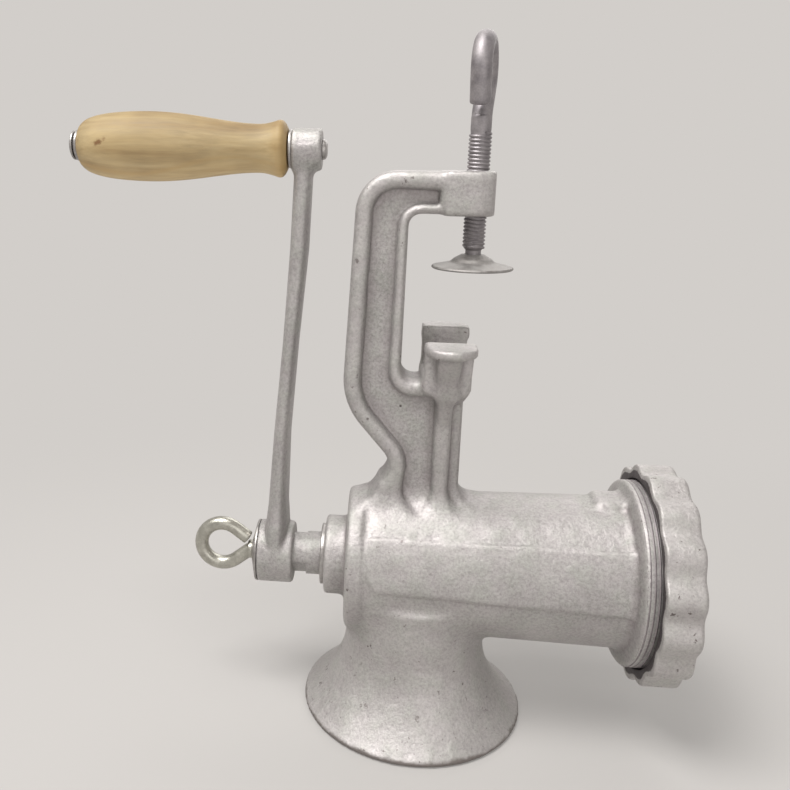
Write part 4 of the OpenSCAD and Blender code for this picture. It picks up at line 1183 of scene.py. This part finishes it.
def pale_floor(finish):
    """Plain pale floor: it takes shadows near the object, and further off it
    has the backdrop's own colour. Light bounces off a paler one."""
    material, put, where = start_material("pale_floor")
    lit = put("ShaderNodeBsdfDiffuse", {"Color": "#B4B1AE"})
    bounce = put("ShaderNodeBsdfDiffuse", {"Color": "#F4F2F0"})
    plain = put("ShaderNodeEmission", {"Color": finish.backdrop, "Strength": 1.0})
    far = put(VECTOR_MATH, (where,), out="Value", operation="LENGTH")
    fade = put("ShaderNodeMapRange", {"Value": far, "From Min": 0.16, "From Max": 0.55,
                                      "To Min": 0.30, "To Max": 1.0}, interpolation_type="SMOOTHSTEP")
    seen = put("ShaderNodeMixShader", (fade, lit, plain))
    shader = put("ShaderNodeMixShader", (backdrop_rays(put), bounce, seen))
    put(OUTPUT, {"Surface": shader}, out=None)
    return material


class GRINDER_OT_stage(bpy.types.Operator):
    """Camera, pale floor, soft lights and surround"""
    bl_idname = "grinder.stage"
    bl_label = "Stage"

    def execute(self, context):
        scene = context.scene
        scene.view_settings.view_transform = "Standard"
        self.camera(scene, scene.grinder_stage)
        self.floor(scene, scene.grinder_finish)
        for name, (place, height, width) in LAMPS.items():
            power = getattr(scene.grinder_stage, name + "_power")
            self.lamp(scene, name, place, (0.0, 0.0, height), width, power)
        self.surround(scene, scene.grinder_stage, scene.grinder_finish)
        return {"FINISHED"}

    def camera(self, scene, stage):
        data = bpy.data.cameras.new("camera")
        data.sensor_fit = "HORIZONTAL"
        data.sensor_width = SENSOR_MM
        data.lens = stage.focal_px / PICTURE_PX * SENSOR_MM
        data.shift_x = (PICTURE_PX / 2 - LENS_PX[0]) / PICTURE_PX
        data.shift_y = -(PICTURE_PX / 2 - LENS_PX[1]) / PICTURE_PX
        data.clip_start = 0.01
        a, b, c = stage.yaw, stage.pitch, stage.roll
        look = Vector((sin(a) * cos(b), cos(a) * cos(b), -sin(b)))
        level = Vector((cos(a), -sin(a), 0.0))
        upright = level.cross(look)
        right = cos(c) * level + sin(c) * upright
        up = -sin(c) * level + cos(c) * upright
        camera = bpy.data.objects.new("camera", data)
        camera.matrix_world = Matrix.Translation(Vector(stage.camera_place)) @ Matrix(
            (right, up, -look)).transposed().to_4x4()
        scene.collection.objects.link(camera)
        scene.camera = camera

    def floor(self, scene, finish):
        r, n = 3.0, 64
        mesh = bpy.data.meshes.new("floor")
        mesh.from_pydata([(r * cos(2 * pi * k / n), r * sin(2 * pi * k / n), -0.0001) for k in range(n)], [],
                         [tuple(range(n))])
        mesh.materials.append(pale_floor(finish))
        floor = bpy.data.objects.new("floor", mesh)
        scene.collection.objects.link(floor)

    def lamp(self, scene, name, place, target, width, power):
        data = bpy.data.lights.new(name, "AREA")
        data.shape = "SQUARE"
        data.size = width
        data.energy = power
        data.color = (1.0, 0.99, 0.98)
        lamp = bpy.data.objects.new(name, data)
        lamp.location = place
        lamp.rotation_euler = (Vector(target) - Vector(place)).to_track_quat("-Z", "Y").to_euler()
        scene.collection.objects.link(lamp)

    def surround(self, scene, stage, finish):
        scene.world = bpy.data.worlds.new("surround")
        scene.world.use_nodes = True
        scene.world.node_tree.nodes.clear()
        put = partial(add, scene.world.node_tree)
        even = put("ShaderNodeBackground", {"Color": "#F2F1F0", "Strength": stage.sky})
        plain = put("ShaderNodeBackground", {"Color": finish.backdrop, "Strength": 1.0})
        mixed = put("ShaderNodeMixShader", (backdrop_rays(put), even, plain))
        put("ShaderNodeOutputWorld", {"Surface": mixed}, out=None)


class GRINDER_PT_pieces(bpy.types.Panel):
    """Lists the grinder's pieces and their settings"""
    bl_idname = "GRINDER_PT_pieces"
    bl_label = "Meat grinder"
    bl_space_type = "VIEW_3D"
    bl_region_type = "UI"
    bl_category = "Grinder"

    def draw(self, context):
        for operator in OPERATORS:
            self.layout.operator(operator.bl_idname, text=operator.bl_label)
        for key in GROUPS:
            group = getattr(context.scene, key)
            box = self.layout.box()
            for prop in group.__annotations__:
                box.prop(group, prop)


OPERATORS = (GRINDER_OT_casting, GRINDER_OT_barrel_thread, GRINDER_OT_front_end, GRINDER_OT_worm,
             GRINDER_OT_crank, GRINDER_OT_handle, GRINDER_OT_clamp, GRINDER_OT_stage)
GROUPS = {"grinder_casting": GrinderCasting, "grinder_metalwork": GrinderMetalwork,
          "grinder_finish": GrinderFinish, "grinder_stage": GrinderStage}


def register():
    for part in (*GROUPS.values(), *OPERATORS, GRINDER_PT_pieces):
        bpy.utils.register_class(part)
    for key, group in GROUPS.items():
        setattr(bpy.types.Scene, key, PointerProperty(type=group))


def unregister():
    for key in GROUPS:
        delattr(bpy.types.Scene, key)
    for part in (GRINDER_PT_pieces, *OPERATORS, *GROUPS.values()):
        bpy.utils.unregister_class(part)


def main():
    register()
    for operator in OPERATORS:
        family, name = operator.bl_idname.split(".")
        getattr(getattr(bpy.ops, family), name)()


if __name__ == "__main__":
    main()
